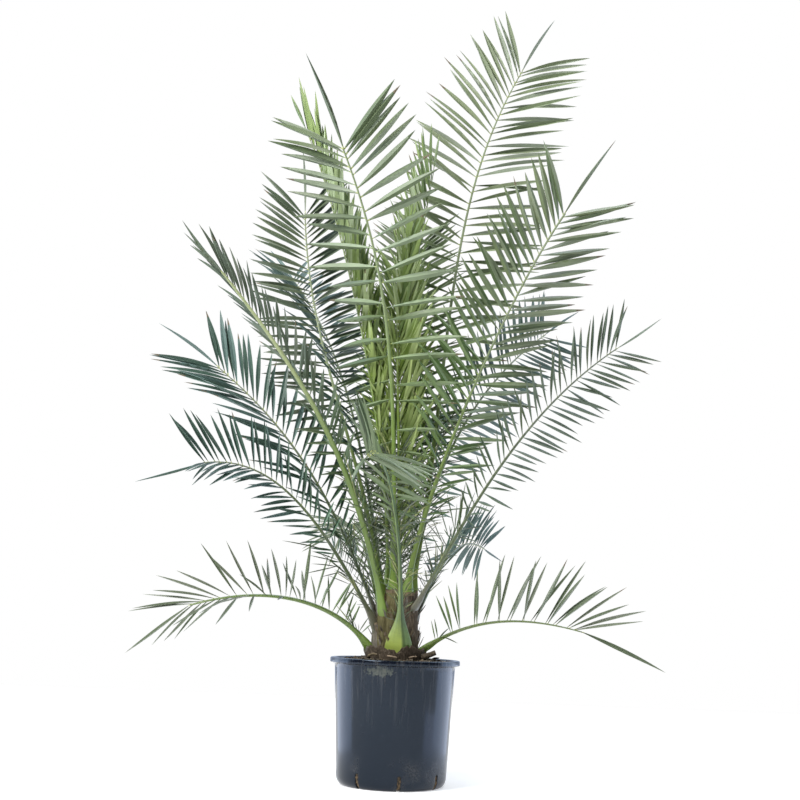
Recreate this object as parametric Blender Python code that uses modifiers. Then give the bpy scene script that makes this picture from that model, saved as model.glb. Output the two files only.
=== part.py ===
"""A potted Canary Island date palm about 2.5 m tall, in metres, +Z up.

The origin is the middle of the pot's flat underside, and the plant's front faces -Y.
"""

from math import cos, pi, radians, sin
from random import Random
from typing import NamedTuple

import bmesh
import bpy
import numpy as np
from mathutils import Matrix, Vector, noise
from mathutils.bvhtree import BVHTree
from mathutils.geometry import interpolate_bezier

# The clear gap between two pieces that touch
GAP = 0.0003

# The pot: a round nursery pot that widens to a rolled rim, on a rounded heel
POT_HEIGHT = 0.346
RIM_RADIUS = 0.185
NECK_RADIUS = 0.1715
HIP_RADIUS = 0.155
HEEL_RADIUS = 0.138
HEEL_HEIGHT = 0.028
LIP_DEPTH = 0.014
LIP_ROUND = 0.004
WALL = 0.003
POT_SIDES = 36
SLOTS = 8
FIRST_SLOT = radians(-82)
SLOT_WIDTH = 0.010
SLOT_TOP = 0.042
SLOT_REACH_IN = 0.018

# The soil: nearly level with the rim, and heaped a little round the trunk
SOIL_TOP = 0.345
SOIL_EDGE = 0.336
SOIL_FLAT_RADIUS = 0.080
SOIL_LUMP = 0.0025
SOIL_LUMP_SIZE = 0.030

# The trunk, as its radius at heights above the underside of the pot
TRUNK_FOOT = SOIL_TOP + GAP
TRUNK_HEIGHTS = (TRUNK_FOOT, 0.365, 0.40, 0.47, 0.52, 0.56, 0.575)
TRUNK_RADII = (0.064, 0.061, 0.053, 0.044, 0.036, 0.024, 0.012)
TRUNK_SIDES = 20

# Where the fronds' feet stand round the trunk: their distance from its axis at heights
FOOT_HEIGHTS = (0.36, 0.40, 0.47, 0.52, 0.56, 0.58)
FOOT_DISTANCES = (0.066, 0.058, 0.050, 0.042, 0.030, 0.0)

# Cut stubs of older fronds, spaced round the trunk as the fronds of a palm are
STUBS = 12
STUB_TURN = radians(137.5)
STUB_FIRST_TURN = radians(215)
STUB_LOWEST = 0.362
STUB_HIGHEST = 0.408
STUB_LENGTH = 0.056
STUB_LEAN = radians(58)
STUB_WIDTHS = (0.034, 0.018)
STUB_THICK = 0.012

# A frond's rib: half its width, at shares of its length
RIB_SHARES = (0.0, 0.05, 0.12, 0.5, 1.0)
RIB_HALF_WIDTHS = (0.020, 0.0125, 0.010, 0.006, 0.0025)
RIB_DEPTH_SHARE = 0.85
RIB_SPANS = 13
RIB_SINK = 0.012

# A frond's leaflets. They are fewer and wider than the real ones, which are 17 mm wide
LEAFLET_SPACING = 0.070
YOUNG_SPACING = 0.11
YOUNG_FOOT = 0.015
LEAFLET_WIDTH = 0.034
LEAFLET_THICK = 0.004
LEAFLET_ROOT_SHARE = 0.4
LEAFLET_WIDEST = 0.34
LEAFLET_SHARES = (0.0, 0.12, 0.35, 0.7, 1.0)
LEAFLET_SIZES = (0.25, 0.5, 0.90, 0.98, 1.0)
LEAFLET_CLEARANCE = 0.0012
SPLIT_MARGIN = 0.012
SWINGS = (0, 9, -9, 18, -18, 27, -27)
TRIMS = (1.0, 0.8, 0.6)
FLAT_ANGLE = radians(0.5)


class Frond(NamedTuple):
    """One frond. Angles are in degrees, and pairs go from its foot to its tip."""

    name: str
    turn: float  # of its foot round the trunk: 0 is +X, 90 the back, 270 the front
    height: float  # of its foot
    launch: float  # its slope at the foot
    tip: tuple  # where its rib ends
    arrive: float  # its slope at the tip
    open: tuple  # between leaflet and rib
    lift: tuple  # of each rank of leaflets out of the frond's flat
    leaflet: float = 0.20
    bare: float = 0.25  # share of the rib below the first leaflets
    hold: tuple = (0.38, 0.38)  # how long the rib keeps each end's slope
    roll: tuple = (0, 0)  # of the frond about its rib
    droop: float = 0.0  # of the leaflets
    foot: float = RIB_HALF_WIDTHS[0]  # half the width of its foot
    spacing: float = LEAFLET_SPACING
    split: float = 0.0  # share of the rib where an arching frond is parted


FRONDS = (
    Frond("low_left", 192, 0.368, 52, (-0.579, -0.10, 0.475), -18, (82, 42), (74, 34),
          leaflet=0.20, bare=0.10, hold=(0.34, 0.42), roll=(0, 35), droop=0.5, split=0.45),
    Frond("low_right", -15, 0.368, 36, (0.514, -0.12, 0.441), -14, (80, 40), (78, 60),
          leaflet=0.23, bare=0.12, roll=(0, -10), droop=0.1, split=0.5),
    Frond("right_upper", -52, 0.513, 90, (0.456, -0.10, 1.66), 57, (60, 40), (4, 14),
          leaflet=0.26, hold=(0.18, 0.27), roll=(50, 77)),
    Frond("right_mid", -34, 0.478, 54, (0.64, 0.05, 1.29), 36, (70, 42), (0, -5),
          leaflet=0.17, bare=0.30, hold=(0.21, 0.41), roll=(27, 79)),
    Frond("left_mid", 163, 0.45, 66, (-0.575, 0.10, 1.197), 38, (55, 30), (7, 12),
          leaflet=0.24, bare=0.30, roll=(12, 59)),
    Frond("left_upper", 226, 0.47, 73, (-0.526, -0.25, 1.398), 46, (46, 19), (17, 17),
          leaflet=0.17, roll=(12, -12)),
    Frond("tall_right", 25, 0.52, 80, (0.36, 0.30, 2.30), 58, (77, 39), (-13, 9),
          leaflet=0.29, bare=0.30, roll=(-34, -58)),
    Frond("left_low", 206, 0.425, 57, (-0.563, -0.15, 0.869), -12, (54, 66), (-20, 50),
          leaflet=0.18, bare=0.30, hold=(0.42, 0.34), roll=(64, 54), droop=0.15, split=0.6),
    Frond("front_left", 250, 0.52, 88, (-0.20, -0.30, 1.756), 50, (92, 54), (15, 10),
          leaflet=0.26, hold=(0.5, 0.30), roll=(0, -10)),
    Frond("left_back", 165, 0.51, 80, (-0.351, 0.30, 1.769), 84, (75, 38), (-16, -20),
          leaflet=0.24, bare=0.30, roll=(25, 40)),
    Frond("right_back", 48, 0.415, 60, (0.287, 0.55, 0.70), -10, (66, 38), (18, 16),
          leaflet=0.17, bare=0.30, roll=(27, 67), split=0.6),
    Frond("front", 277, 0.368, 70, (-0.085, -0.80, 0.815), -22, (77, 70), (10, 31),
          leaflet=0.17, bare=0.42, roll=(1, 56), foot=0.036, split=0.6),
    Frond("young_left", 195, 0.56, 90, (-0.34, 0.05, 1.957), 65, (24, 10), (60, 60),
          leaflet=0.22, hold=(0.30, 0.20), foot=YOUNG_FOOT, spacing=YOUNG_SPACING),
    Frond("young_right", 134, 0.56, 88, (0.065, 0.05, 1.84), 82, (40, 20), (60, 60),
          leaflet=0.21, hold=(0.59, 0.45), foot=YOUNG_FOOT, spacing=YOUNG_SPACING),
    Frond("young_centre", 90, 0.58, 92, (-0.035, 0.0, 1.50), 89, (30, 18), (60, 60),
          leaflet=0.22, bare=0.25, foot=YOUNG_FOOT, spacing=YOUNG_SPACING),
    Frond("back_tall", 95, 0.53, 84, (0.02, 0.50, 1.72), 60, (70, 40), (20, 10),
          leaflet=0.22),
    Frond("back_right", 66, 0.47, 74, (0.469, 0.45, 1.421), 34, (70, 40), (5, 0),
          roll=(60, 110)),
    Frond("back_left", 128, 0.47, 74, (-0.40, 0.50, 1.60), 42, (70, 40), (20, 10)),
    Frond("back_mid", 98, 0.435, 70, (0.10, 0.78, 1.15), -5, (70, 40), (25, 15),
          droop=0.2, split=0.65),
    Frond("back_low", 118, 0.40, 58, (-0.20, 0.62, 0.74), -20, (70, 40), (30, 15),
          leaflet=0.18, droop=0.3, split=0.55),
)

# Fronds that the light yellows, and those that are blue-green. The rest are olive green
YOUNG = ("young_left", "young_right", "young_centre", "front_left", "back_tall")
BLUISH = ("left_mid", "left_low", "right_back", "back_right", "back_left")


def clear_scene():
    for obj in list(bpy.data.objects):
        bpy.data.objects.remove(obj, do_unlink=True)


def new_collection(name):
    made = bpy.data.collections.new(name)
    bpy.context.scene.collection.children.link(made)
    return made


def new_material(name, colour, roughness):
    made = bpy.data.materials.new(name)
    made.use_nodes = True
    shader = made.node_tree.nodes["Principled BSDF"]
    shader.inputs["Base Color"].default_value = (*colour, 1.0)
    shader.inputs["Roughness"].default_value = roughness
    shader.inputs["Metallic"].default_value = 0.0
    return made


def mesh_object(name, bm, collection, material):
    mesh = bpy.data.meshes.new(name)
    bm.to_mesh(mesh)
    bm.free()
    mesh.materials.append(material)
    made = bpy.data.objects.new(name, mesh)
    collection.objects.link(made)
    return made


def hide_cutter(obj):
    obj.hide_render = True
    obj.display_type = "WIRE"


def shade_round(mesh):
    mesh.shade_smooth()
    mesh.set_sharp_from_angle(angle=radians(40))


def add_boolean(obj, operation, cutter=None, group=None):
    made = obj.modifiers.new(operation.lower(), "BOOLEAN")
    made.operation = operation
    made.solver = "EXACT"
    if group:
        made.operand_type = "COLLECTION"
        made.collection = group
    else:
        made.object = cutter


def apply_modifiers(obj):
    graph = bpy.context.evaluated_depsgraph_get()
    old = obj.data
    mesh = bpy.data.meshes.new_from_object(obj.evaluated_get(graph))
    obj.modifiers.clear()
    obj.data = mesh
    mesh.name = obj.name
    bpy.data.meshes.remove(old)


def turned(name, profile, sides, collection, material):
    """A solid turned round the Z axis. The profile is (radius, height) pairs."""
    bm = bmesh.new()
    points = [bm.verts.new((radius, 0, height)) for radius, height in profile]
    for start, end in zip(points, points[1:]):
        bm.edges.new((start, end))
    made = mesh_object(name, bm, collection, material)
    screw = made.modifiers.new("turn", "SCREW")
    screw.steps = screw.render_steps = sides
    screw.use_merge_vertices = True
    screw.merge_threshold = 0.0001
    screw.use_smooth_shade = False
    apply_modifiers(made)
    shade_round(made.data)
    return made


def arc(centre, radius, start, end, count):
    """Points on an arc in the (radius, height) plane, with angles in degrees."""
    return [
        (centre[0] + radius * cos(radians(angle)), centre[1] + radius * sin(radians(angle)))
        for angle in np.linspace(start, end, count)
    ]


def heel(inset):
    """The rounded edge between the pot's side and its base, from the top down."""
    reach = HIP_RADIUS - HEEL_RADIUS
    return [
        (HEEL_RADIUS - inset + reach * cos(angle), HEEL_HEIGHT * (1 - sin(angle)) + inset)
        for angle in np.linspace(0, pi / 2, 5)
    ]


def make_pot(collection, cutters, material):
    lip_edge = RIM_RADIUS - LIP_ROUND
    inside = [(0, WALL), *reversed(heel(WALL))]
    inside.append((NECK_RADIUS - WALL, POT_HEIGHT - LIP_ROUND))
    top = arc((NECK_RADIUS + LIP_ROUND - WALL, POT_HEIGHT - LIP_ROUND), LIP_ROUND, 135, 90, 2)
    top += arc((lip_edge, POT_HEIGHT - LIP_ROUND), LIP_ROUND, 90, 0, 4)
    lip = [(RIM_RADIUS, POT_HEIGHT - LIP_DEPTH), (NECK_RADIUS, POT_HEIGHT - LIP_DEPTH - WALL)]
    profile = inside + top + lip + heel(0) + [(0, 0)]
    pot = turned("pot", profile, POT_SIDES, collection, material)
    slots = new_collection("pot slots")
    cutters.children.link(slots)
    bpy.context.scene.collection.children.unlink(slots)
    for index in range(SLOTS):
        turn = FIRST_SLOT + index * 2 * pi / SLOTS
        make_slot_cutter(turn, slots, material)
    add_boolean(pot, "DIFFERENCE", group=slots)
    apply_modifiers(pot)
    shade_round(pot.data)
    return pot


def make_slot_cutter(turn, collection, material):
    """A round-topped drainage slot that wraps the heel and runs a little way under it."""
    inner = HEEL_RADIUS - SLOT_REACH_IN
    outer = HIP_RADIUS + 0.02
    bm = bmesh.new()
    bmesh.ops.create_cone(bm, cap_ends=True, segments=8, radius1=SLOT_WIDTH / 2,
                          radius2=SLOT_WIDTH / 2, depth=outer - inner)
    lay_down = Matrix.Rotation(pi / 2, 4, "Y")
    bmesh.ops.transform(bm, matrix=lay_down, verts=bm.verts)
    for vert in bm.verts:
        if vert.co.z < -0.0001:
            vert.co.z = -SLOT_TOP
    place = Matrix.Rotation(turn, 4, "Z") @ Matrix.Translation(
        ((inner + outer) / 2, 0, SLOT_TOP - SLOT_WIDTH / 2)
    )
    bmesh.ops.transform(bm, matrix=place, verts=bm.verts)
    cutter = mesh_object("slot", bm, collection, material)
    hide_cutter(cutter)


def make_soil(collection, material):
    inset = WALL + GAP
    wall = [(radius, height) for radius, height in heel(inset) if height < SOIL_EDGE]
    share = (SOIL_EDGE - HEEL_HEIGHT) / (POT_HEIGHT - LIP_ROUND - HEEL_HEIGHT)
    edge = HIP_RADIUS + (NECK_RADIUS - HIP_RADIUS) * share - inset
    top = [(0, SOIL_TOP), (SOIL_FLAT_RADIUS, SOIL_TOP)]
    top += [(0.105, SOIL_TOP - 0.003), (0.130, SOIL_EDGE + 0.002), (0.152, SOIL_EDGE)]
    soil = turned("soil", top + [(edge, SOIL_EDGE)] + wall + [(0, inset)], POT_SIDES,
                  collection, material)
    for vert in soil.data.vertices:
        out = Vector(vert.co.xy).length
        if SOIL_FLAT_RADIUS + 0.005 < out < edge - 0.005 and vert.co.z > SOIL_EDGE - 0.001:
            vert.co.z += SOIL_LUMP * noise.noise(vert.co / SOIL_LUMP_SIZE)
    return soil


def trunk_solid(name, grow, collection, material):
    top = TRUNK_HEIGHTS[-1] + grow
    heights = (*TRUNK_HEIGHTS[:-1], top)
    side = [(radius + grow, height) for radius, height in zip(TRUNK_RADII, heights)]
    profile = [(0, top), *reversed(side), (0, TRUNK_FOOT)]
    return turned(name, profile, TRUNK_SIDES, collection, material)


class Rib:
    """The middle line of a frond's rib, with its directions, read by share of its length."""

    def __init__(self, frond):
        self.frond = frond
        turn = radians(frond.turn)
        outward = np.array((cos(turn), sin(turn), 0))
        foot = outward * np.interp(frond.height, FOOT_HEIGHTS, FOOT_DISTANCES)
        foot[2] = frond.height
        tip = np.array(frond.tip)
        self.level = unit((tip - foot) * (1, 1, 0))
        reach = np.linalg.norm(tip - foot)
        start = foot + sloped(outward, frond.launch) * reach * frond.hold[0]
        end = tip - sloped(self.level, frond.arrive) * reach * frond.hold[1]
        curve = np.array(interpolate_bezier(foot, start, end, tip, 120))
        steps = np.linalg.norm(np.diff(curve, axis=0), axis=1)
        along = np.concatenate(([0], np.cumsum(steps)))
        self.length = along[-1]
        self.stations = np.linspace(0, 1, RIB_SPANS + 1)
        self.line = [np.interp(self.stations * self.length, along, part) for part in curve.T]

    def point(self, share):
        return np.array([np.interp(share, self.stations, part) for part in self.line])

    def frame(self, share):
        """The directions along the rib, across it and out of its upper face."""
        step = 0.5 / RIB_SPANS
        along = unit(self.point(min(share + step, 1)) - self.point(max(share - step, 0)))
        across = np.array((self.level[1], -self.level[0], 0))
        across = unit(across - along * (across @ along))
        above = np.cross(across, along)
        roll = radians(np.interp(share, (0, 1), self.frond.roll))
        return (
            along,
            across * cos(roll) + above * sin(roll),
            above * cos(roll) - across * sin(roll),
        )

    def half_width(self, share):
        widths = (self.frond.foot, *RIB_HALF_WIDTHS[1:])
        return np.interp(share, RIB_SHARES, widths)


def unit(vector):
    return vector / np.linalg.norm(vector)


def sloped(level, slope):
    return level * cos(radians(slope)) + np.array((0, 0, sin(radians(slope))))


def rib_ring(rib, share, centre=None, scale=1.0):
    """A four-sided section: flat and broad above, narrower below."""
    along, across, above = rib.frame(share)
    half = rib.half_width(share) * scale
    deep = min(half, RIB_HALF_WIDTHS[0]) * RIB_DEPTH_SHARE
    centre = rib.point(share) if centre is None else centre
    corners = ((1, 0.45), (-1, 0.45), (-0.55, -0.8), (0.55, -0.8))
    return [centre + across * half * x + above * deep * z for x, z in corners]


def loft(bm, rings):
    """Skins rings that have as many points each, and closes both ends."""
    rows = [[bm.verts.new(point) for point in ring] for ring in rings]
    for low, high in zip(rows, rows[1:]):
        for index, corner in enumerate(low):
            after = (index + 1) % len(low)
            bm.faces.new((corner, low[after], high[after], high[index]))
    bm.faces.new(list(reversed(rows[0])))
    bm.faces.new(rows[-1])
    bmesh.ops.recalc_face_normals(bm, faces=bm.faces)


def rib_mesh(rib, start, end):
    """The rib between two shares of its length. The foot's end is sunk in the trunk."""
    half_gap = GAP / 2 / rib.length
    first = start + half_gap if start else 0
    last = end - half_gap if end < 1 else 1
    between = [share for share in rib.stations if first + 0.01 < share < last - 0.01]
    rings = []
    if not start:
        sunk = rib.point(0) * (0.6, 0.6, 1) - (0, 0, RIB_SINK)
        rings.append(rib_ring(rib, 0, sunk, 0.6))
        between.insert(0, RIB_SHARES[1])
    rings += [rib_ring(rib, share) for share in (first, *between, last)]
    bm = bmesh.new()
    loft(bm, rings)
    return bm


def blade_mesh(root, along, rib_along, above, length, grow=0.0):
    """A leaflet: keeled below, widest a third of the way out, and drawn to a point."""
    across = unit(rib_along - along * (rib_along @ along))
    face = np.cross(along, across)
    if face @ above < 0:
        face = -face
    bm = bmesh.new()
    side = 1 / 3**0.5
    bmesh.ops.create_cone(bm, cap_ends=True, segments=3, radius1=side, radius2=side, depth=1)
    outer_cap = max(bm.faces, key=lambda f: f.calc_center_median().z)
    tip = bmesh.ops.poke(bm, faces=[outer_cap])["verts"][0]
    for vert in bm.verts:
        outer = vert.co.z > 0
        size = 1 if outer else LEAFLET_ROOT_SHARE
        if vert is tip:
            place = along * (length + grow)
        else:
            place = along * length * LEAFLET_WIDEST * outer
            place = place + across * vert.co.x * (LEAFLET_WIDTH * size + 2 * grow)
            place = place - face * vert.co.y * (LEAFLET_THICK * size + 2 * grow)
        vert.co = root + place
    bmesh.ops.recalc_face_normals(bm, faces=bm.faces)
    return bm


def leaflet_places(rib):
    """Where each leaflet starts, as its share of the rib, its angles, side and length."""
    frond = rib.frond
    rng = Random(frond.name)
    count = round(rib.length * (1 - frond.bare) / frond.spacing)
    for index in range(count):
        for side, ahead in ((-1, 0.25), (1, 0.5)):
            out = (index + ahead) / count
            share = frond.bare + (1 - frond.bare) * out
            spread = frond.open[1] + (frond.open[0] - frond.open[1]) * (1 - out**3)
            opening = spread + rng.uniform(-4, 4)
            lift = np.interp(out, (0, 1), frond.lift) + rng.uniform(-7, 7)
            size = np.interp(out, LEAFLET_SHARES, LEAFLET_SIZES) * rng.uniform(0.93, 1.0)
            yield share, opening, lift, side, frond.droop * out, frond.leaflet * size
    yield 1.0, 0, 0, 1, frond.droop, frond.leaflet * 0.95


def leaflet_direction(rib, share, opening, lift, side, droop):
    along, across, above = rib.frame(share)
    outward = cos(radians(lift)) * side * across + sin(radians(lift)) * above
    direction = cos(radians(opening)) * along + sin(radians(opening)) * outward
    return unit(direction - (0, 0, droop))


def clear_blade(rib, place, obstacles):
    """The leaflet's mesh, swung or trimmed until it clears the obstacles, or None."""
    share, opening, lift, side, droop, length = place
    along, _, above = rib.frame(share)
    for trim in TRIMS:
        for swing in SWINGS:
            direction = leaflet_direction(rib, share, opening, lift + swing, side, droop)
            root = rib.point(min(share, 1 - 0.004 / rib.length))
            rib_along = along if share < 1 else above
            shape = (root, direction, rib_along, above, length * trim)
            fat = blade_mesh(*shape, grow=LEAFLET_CLEARANCE)
            tree = BVHTree.FromBMesh(fat)
            fat.free()
            if not any(tree.overlap(other) for other in obstacles):
                return blade_mesh(*shape)
    return None


def frond_parts(frond):
    """The names of a frond's nodes, with the shares of its rib where each starts and ends."""
    name = "frond_" + frond.name
    if not frond.split:
        return [(name, 0, 1)]
    return [(name, 0, frond.split), (name + "_end", frond.split, 1)]


def make_part(rib, start, end, name, obstacles, collection, trunk_cutter, material):
    """One frond, or the inner or outer part of one that is split: its rib and leaflets."""
    blades = new_collection("blades")
    margin = SPLIT_MARGIN / rib.length
    skipped = 0
    for place in leaflet_places(rib):
        share = place[0]
        if not start <= share < end and not (share == 1 and end == 1):
            continue
        lowest = start + margin if start else 0
        highest = end - margin if end < 1 else 1
        share = min(max(share, lowest), highest)
        blade = clear_blade(rib, (share, *place[1:]), obstacles)
        if blade:
            mesh_object("blade", blade, blades, material)
        else:
            skipped += 1
    made = mesh_object(name, rib_mesh(rib, start, end), collection, material)
    add_boolean(made, "UNION", group=blades)
    if not start:
        add_boolean(made, "DIFFERENCE", cutter=trunk_cutter)
    apply_modifiers(made)
    for blade in list(blades.objects):
        bpy.data.objects.remove(blade, do_unlink=True)
    bpy.data.collections.remove(blades)
    keep_main_body(made.data)
    return made, skipped


def keep_main_body(mesh):
    """Drops loose scraps, and the inner skins of hollows that the union seals."""
    bm = bmesh.new()
    bm.from_mesh(mesh)
    bmesh.ops.dissolve_limit(bm, angle_limit=FLAT_ANGLE, verts=bm.verts, edges=bm.edges)
    bmesh.ops.triangulate(bm, faces=bm.faces)
    unseen = set(bm.faces)
    bodies = []
    while unseen:
        body = [unseen.pop()]
        for face in body:
            for edge in face.edges:
                near = [other for other in edge.link_faces if other in unseen]
                unseen.difference_update(near)
                body.extend(near)
        bodies.append(body)
    bodies.sort(key=len)
    for scrap in bodies[:-1]:
        bmesh.ops.delete(bm, geom=scrap, context="FACES")
    bm.to_mesh(mesh)
    bm.free()


def mesh_tree(obj):
    bm = bmesh.new()
    bm.from_mesh(obj.data)
    tree = BVHTree.FromBMesh(bm)
    bm.free()
    return tree


def make_stubs(obstacles, collection, trunk_cutter, material):
    """Cut leaf bases round the trunk's foot, with none where a frond stands."""
    made = []
    for index in range(STUBS):
        turn = STUB_FIRST_TURN + index * STUB_TURN
        height = STUB_LOWEST + (STUB_HIGHEST - STUB_LOWEST) * index / (STUBS - 1)
        distance = np.interp(height, TRUNK_HEIGHTS, TRUNK_RADII)
        bm = bmesh.new()
        bmesh.ops.create_cone(bm, cap_ends=True, segments=6, radius1=STUB_WIDTHS[0] / 2,
                              radius2=STUB_WIDTHS[1] / 2, depth=STUB_LENGTH)
        flatten = Matrix.Diagonal((STUB_THICK / STUB_WIDTHS[0], 1, 1, 1))
        lean = Matrix.Rotation(pi / 2 - STUB_LEAN, 4, "Y")
        stand = Matrix.Translation((distance, 0, height)) @ lean
        place = Matrix.Rotation(turn, 4, "Z") @ stand @ flatten
        bmesh.ops.transform(bm, matrix=place, verts=bm.verts)
        tree = BVHTree.FromBMesh(bm)
        if any(tree.overlap(other) for other in obstacles):
            bm.free()
            continue
        stub = mesh_object(f"stub_{len(made) + 1}", bm, collection, material)
        add_boolean(stub, "DIFFERENCE", cutter=trunk_cutter)
        apply_modifiers(stub)
        keep_main_body(stub.data)
        made.append(stub)
        obstacles.append(mesh_tree(stub))
    return made


def frond_material(name, materials):
    if name in YOUNG:
        return materials["young"]
    return materials["bluish" if name in BLUISH else "olive"]


def main():
    clear_scene()
    palm = new_collection("potted_date_palm")
    cutters = new_collection("cutters")
    pot_plastic = new_material("black plastic", (0.012, 0.013, 0.016), 0.32)
    compost = new_material("compost", (0.035, 0.020, 0.012), 0.95)
    fibre = new_material("fibrous trunk", (0.13, 0.075, 0.040), 0.85)
    leaf = {
        "olive": new_material("olive leaf", (0.075, 0.135, 0.055), 0.5),
        "bluish": new_material("blue-green leaf", (0.055, 0.120, 0.085), 0.5),
        "young": new_material("young leaf", (0.110, 0.185, 0.050), 0.5),
    }
    pot = make_pot(palm, cutters, pot_plastic)
    soil = make_soil(palm, compost)
    trunk = trunk_solid("trunk", 0, palm, fibre)
    trunk_cutter = trunk_solid("trunk clearance", GAP, cutters, fibre)
    hide_cutter(trunk_cutter)

    ribs = [Rib(frond) for frond in FRONDS]
    rib_trees = {}
    for rib in ribs:
        for name, start, end in frond_parts(rib.frond):
            bm = rib_mesh(rib, start, end)
            rib_trees[name] = BVHTree.FromBMesh(bm)
            bm.free()
    fixed = [mesh_tree(obj) for obj in (pot, soil)]
    stub_obstacles = fixed + list(rib_trees.values())
    stubs = make_stubs(stub_obstacles, palm, trunk_cutter, fibre)
    fixed += [mesh_tree(obj) for obj in (trunk, *stubs)]

    done = []
    for rib in ribs:
        for name, start, end in frond_parts(rib.frond):
            others = [tree for other, tree in rib_trees.items() if other != name]
            made, skipped = make_part(rib, start, end, name, fixed + others + done, palm,
                                      trunk_cutter, frond_material(rib.frond.name, leaf))
            print(name, len(made.data.polygons), "triangles,", skipped, "leaflets skipped")
            done.append(mesh_tree(made))


main()
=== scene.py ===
"""A potted Canary Island date palm in full detail, round its solids. Metres, +Z up.

The front of the plant faces -Y, and the origin is the middle of the pot's underside.
"""

from math import atan2, cos, exp, pi, radians, sin
from random import Random
from typing import NamedTuple

import bpy
import numpy as np
from mathutils import Matrix, Vector, noise
from mathutils.geometry import interpolate_bezier

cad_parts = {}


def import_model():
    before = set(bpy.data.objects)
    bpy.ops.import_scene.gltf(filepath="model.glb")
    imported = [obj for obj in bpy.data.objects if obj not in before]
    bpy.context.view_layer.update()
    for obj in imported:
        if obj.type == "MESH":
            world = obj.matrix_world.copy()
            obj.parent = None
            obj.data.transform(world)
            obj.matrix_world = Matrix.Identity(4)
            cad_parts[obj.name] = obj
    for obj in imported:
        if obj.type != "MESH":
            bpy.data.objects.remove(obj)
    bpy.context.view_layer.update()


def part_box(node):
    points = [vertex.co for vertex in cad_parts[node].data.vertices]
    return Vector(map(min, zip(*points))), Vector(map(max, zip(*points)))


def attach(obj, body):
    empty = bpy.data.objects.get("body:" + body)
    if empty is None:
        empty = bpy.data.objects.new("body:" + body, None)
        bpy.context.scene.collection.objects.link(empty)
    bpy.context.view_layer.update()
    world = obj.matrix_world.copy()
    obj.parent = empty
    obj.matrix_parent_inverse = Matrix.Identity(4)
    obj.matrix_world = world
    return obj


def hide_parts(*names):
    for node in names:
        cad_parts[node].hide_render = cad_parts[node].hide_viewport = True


# The pot
POT_HEIGHT = 0.346
RIM_RADIUS = 0.185
NECK_RADIUS = 0.1715
HIP_RADIUS = 0.155
HEEL_RADIUS = 0.138
HEEL_HEIGHT = 0.028
LIP_DEPTH = 0.014
LIP_ROUND = 0.004
LIP_EDGE = 0.002
LIP_UNDERSIDE = 0.1800  # how far out it is flat below
WALL = 0.003
POT_SEGMENTS = 96
SLOTS = 8
FIRST_SLOT = radians(-82)
SLOT_WIDTH = 0.010
SLOT_TOP = 0.042
SLOT_REACH_IN = 0.018
SLOT_BEVEL = 0.0006
BASE_RADII = (0.020, 0.080, 0.118, 0.131)  # of rings on the underside, inside the heel
SIDE_HEIGHTS = (0.046, 0.318)  # between the heel and the neck
ROOTS_PER_SLOT = 16
ROOT_STEPS = 5
ROOT_THICK = (0.0004, 0.0009)

# The soil
SOIL_TOP = 0.345
SOIL_EDGE = 0.336
SOIL_DISTANCES = (0.07, 0.09, 0.13, 0.152)  # from the plant's axis
SOIL_LEVELS = (SOIL_TOP, 0.3435, 0.338, SOIL_EDGE)
SOIL_LUMPS = ((0.0026, 38), (0.0013, 110))  # how high, and how close together
SOIL_GAP = 0.0006
SOIL_SEGMENTS = 160
SOIL_RING = 0.0028  # between the rings of its surface
CRUMBS = 1500
CRUMB_SIZES = (0.0012, 0.0075)
CRUMB_REACH = (0.062, WALL + 0.004)  # from the plant's axis, and from the pot's outside
CRUMB_STRETCH = (0.6, 1.3)
CRUMB_KNOCKS = (0.75, 1.2)
SCRAPS = 46  # of dead leaf and root
SCRAP_LENGTH = (0.018, 0.06)
SCRAP_THICK = (0.0005, 0.0017)
SCRAP_STEPS = 6
SCRAP_REACH = 0.155  # none lies further out

# The trunk
TRUNK_HEIGHTS = (0.3453, 0.365, 0.40, 0.47, 0.52, 0.56, 0.575)
TRUNK_RADII = (0.064, 0.061, 0.053, 0.044, 0.036, 0.024, 0.012)
TRUNK_SEGMENTS = 96
TRUNK_RINGS = 70
SPIRALS = (5, 8)  # rows of old leaf bases that climb each way
SPIRAL_CLIMB = 95
TRUNK_RELIEF = 0.0022
FIBRES = 620
FIBRE_STEPS = 6
FIBRE_LENGTH = (0.02, 0.07)
FIBRE_LOOSE = (0.001, 0.006)  # how far its end stands off
FIBRE_THICK = (0.00025, 0.0006)
STUBS = 4
STUB_ROWS = 9
STUB_WIDTHS = (0.0085, 0.0114)  # half of it at the end, and how much more at the foot
STUB_DEPTHS = (0.0042, 0.0065)
STUB_TEAR = 0.004
STUB_SIDES = 14

# Where the fronds' feet stand round the trunk: their distance from its axis at heights
FOOT_HEIGHTS = (0.36, 0.40, 0.47, 0.52, 0.56, 0.58)
FOOT_DISTANCES = (0.066, 0.058, 0.050, 0.042, 0.030, 0.0)

# The old sheaths round the trunk
SHEATH_LOWEST = 0.40  # fronds that stand lower have none
SHEATH_FOOT = 0.3460
SHEATH_ROWS = 20
SHEATH_BACK_STEPS = 16
SHEATH_FACE_POINTS = 5
SHEATH_FOOT_THICK = 0.003
SHEATH_TOP_THICK = 0.018
SHEATH_CREST = 0.0016  # the swell below its torn edge

# Their torn husks: turn and span in degrees, rise, distance and skin
HUSKS = ((238, 58, 0.034, 0.092, 1), (264, 40, 0.024, 0.103, 1), (296, 56, 0.036, 0.090, 1),
         (322, 52, 0.030, 0.080, 1), (205, 40, 0.026, 0.080, 2), (352, 44, 0.024, 0.080, 1),
         (28, 58, 0.030, 0.079, 1), (84, 62, 0.022, 0.082, 0), (132, 56, 0.034, 0.078, 1),
         (172, 40, 0.024, 0.082, 2))

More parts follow.
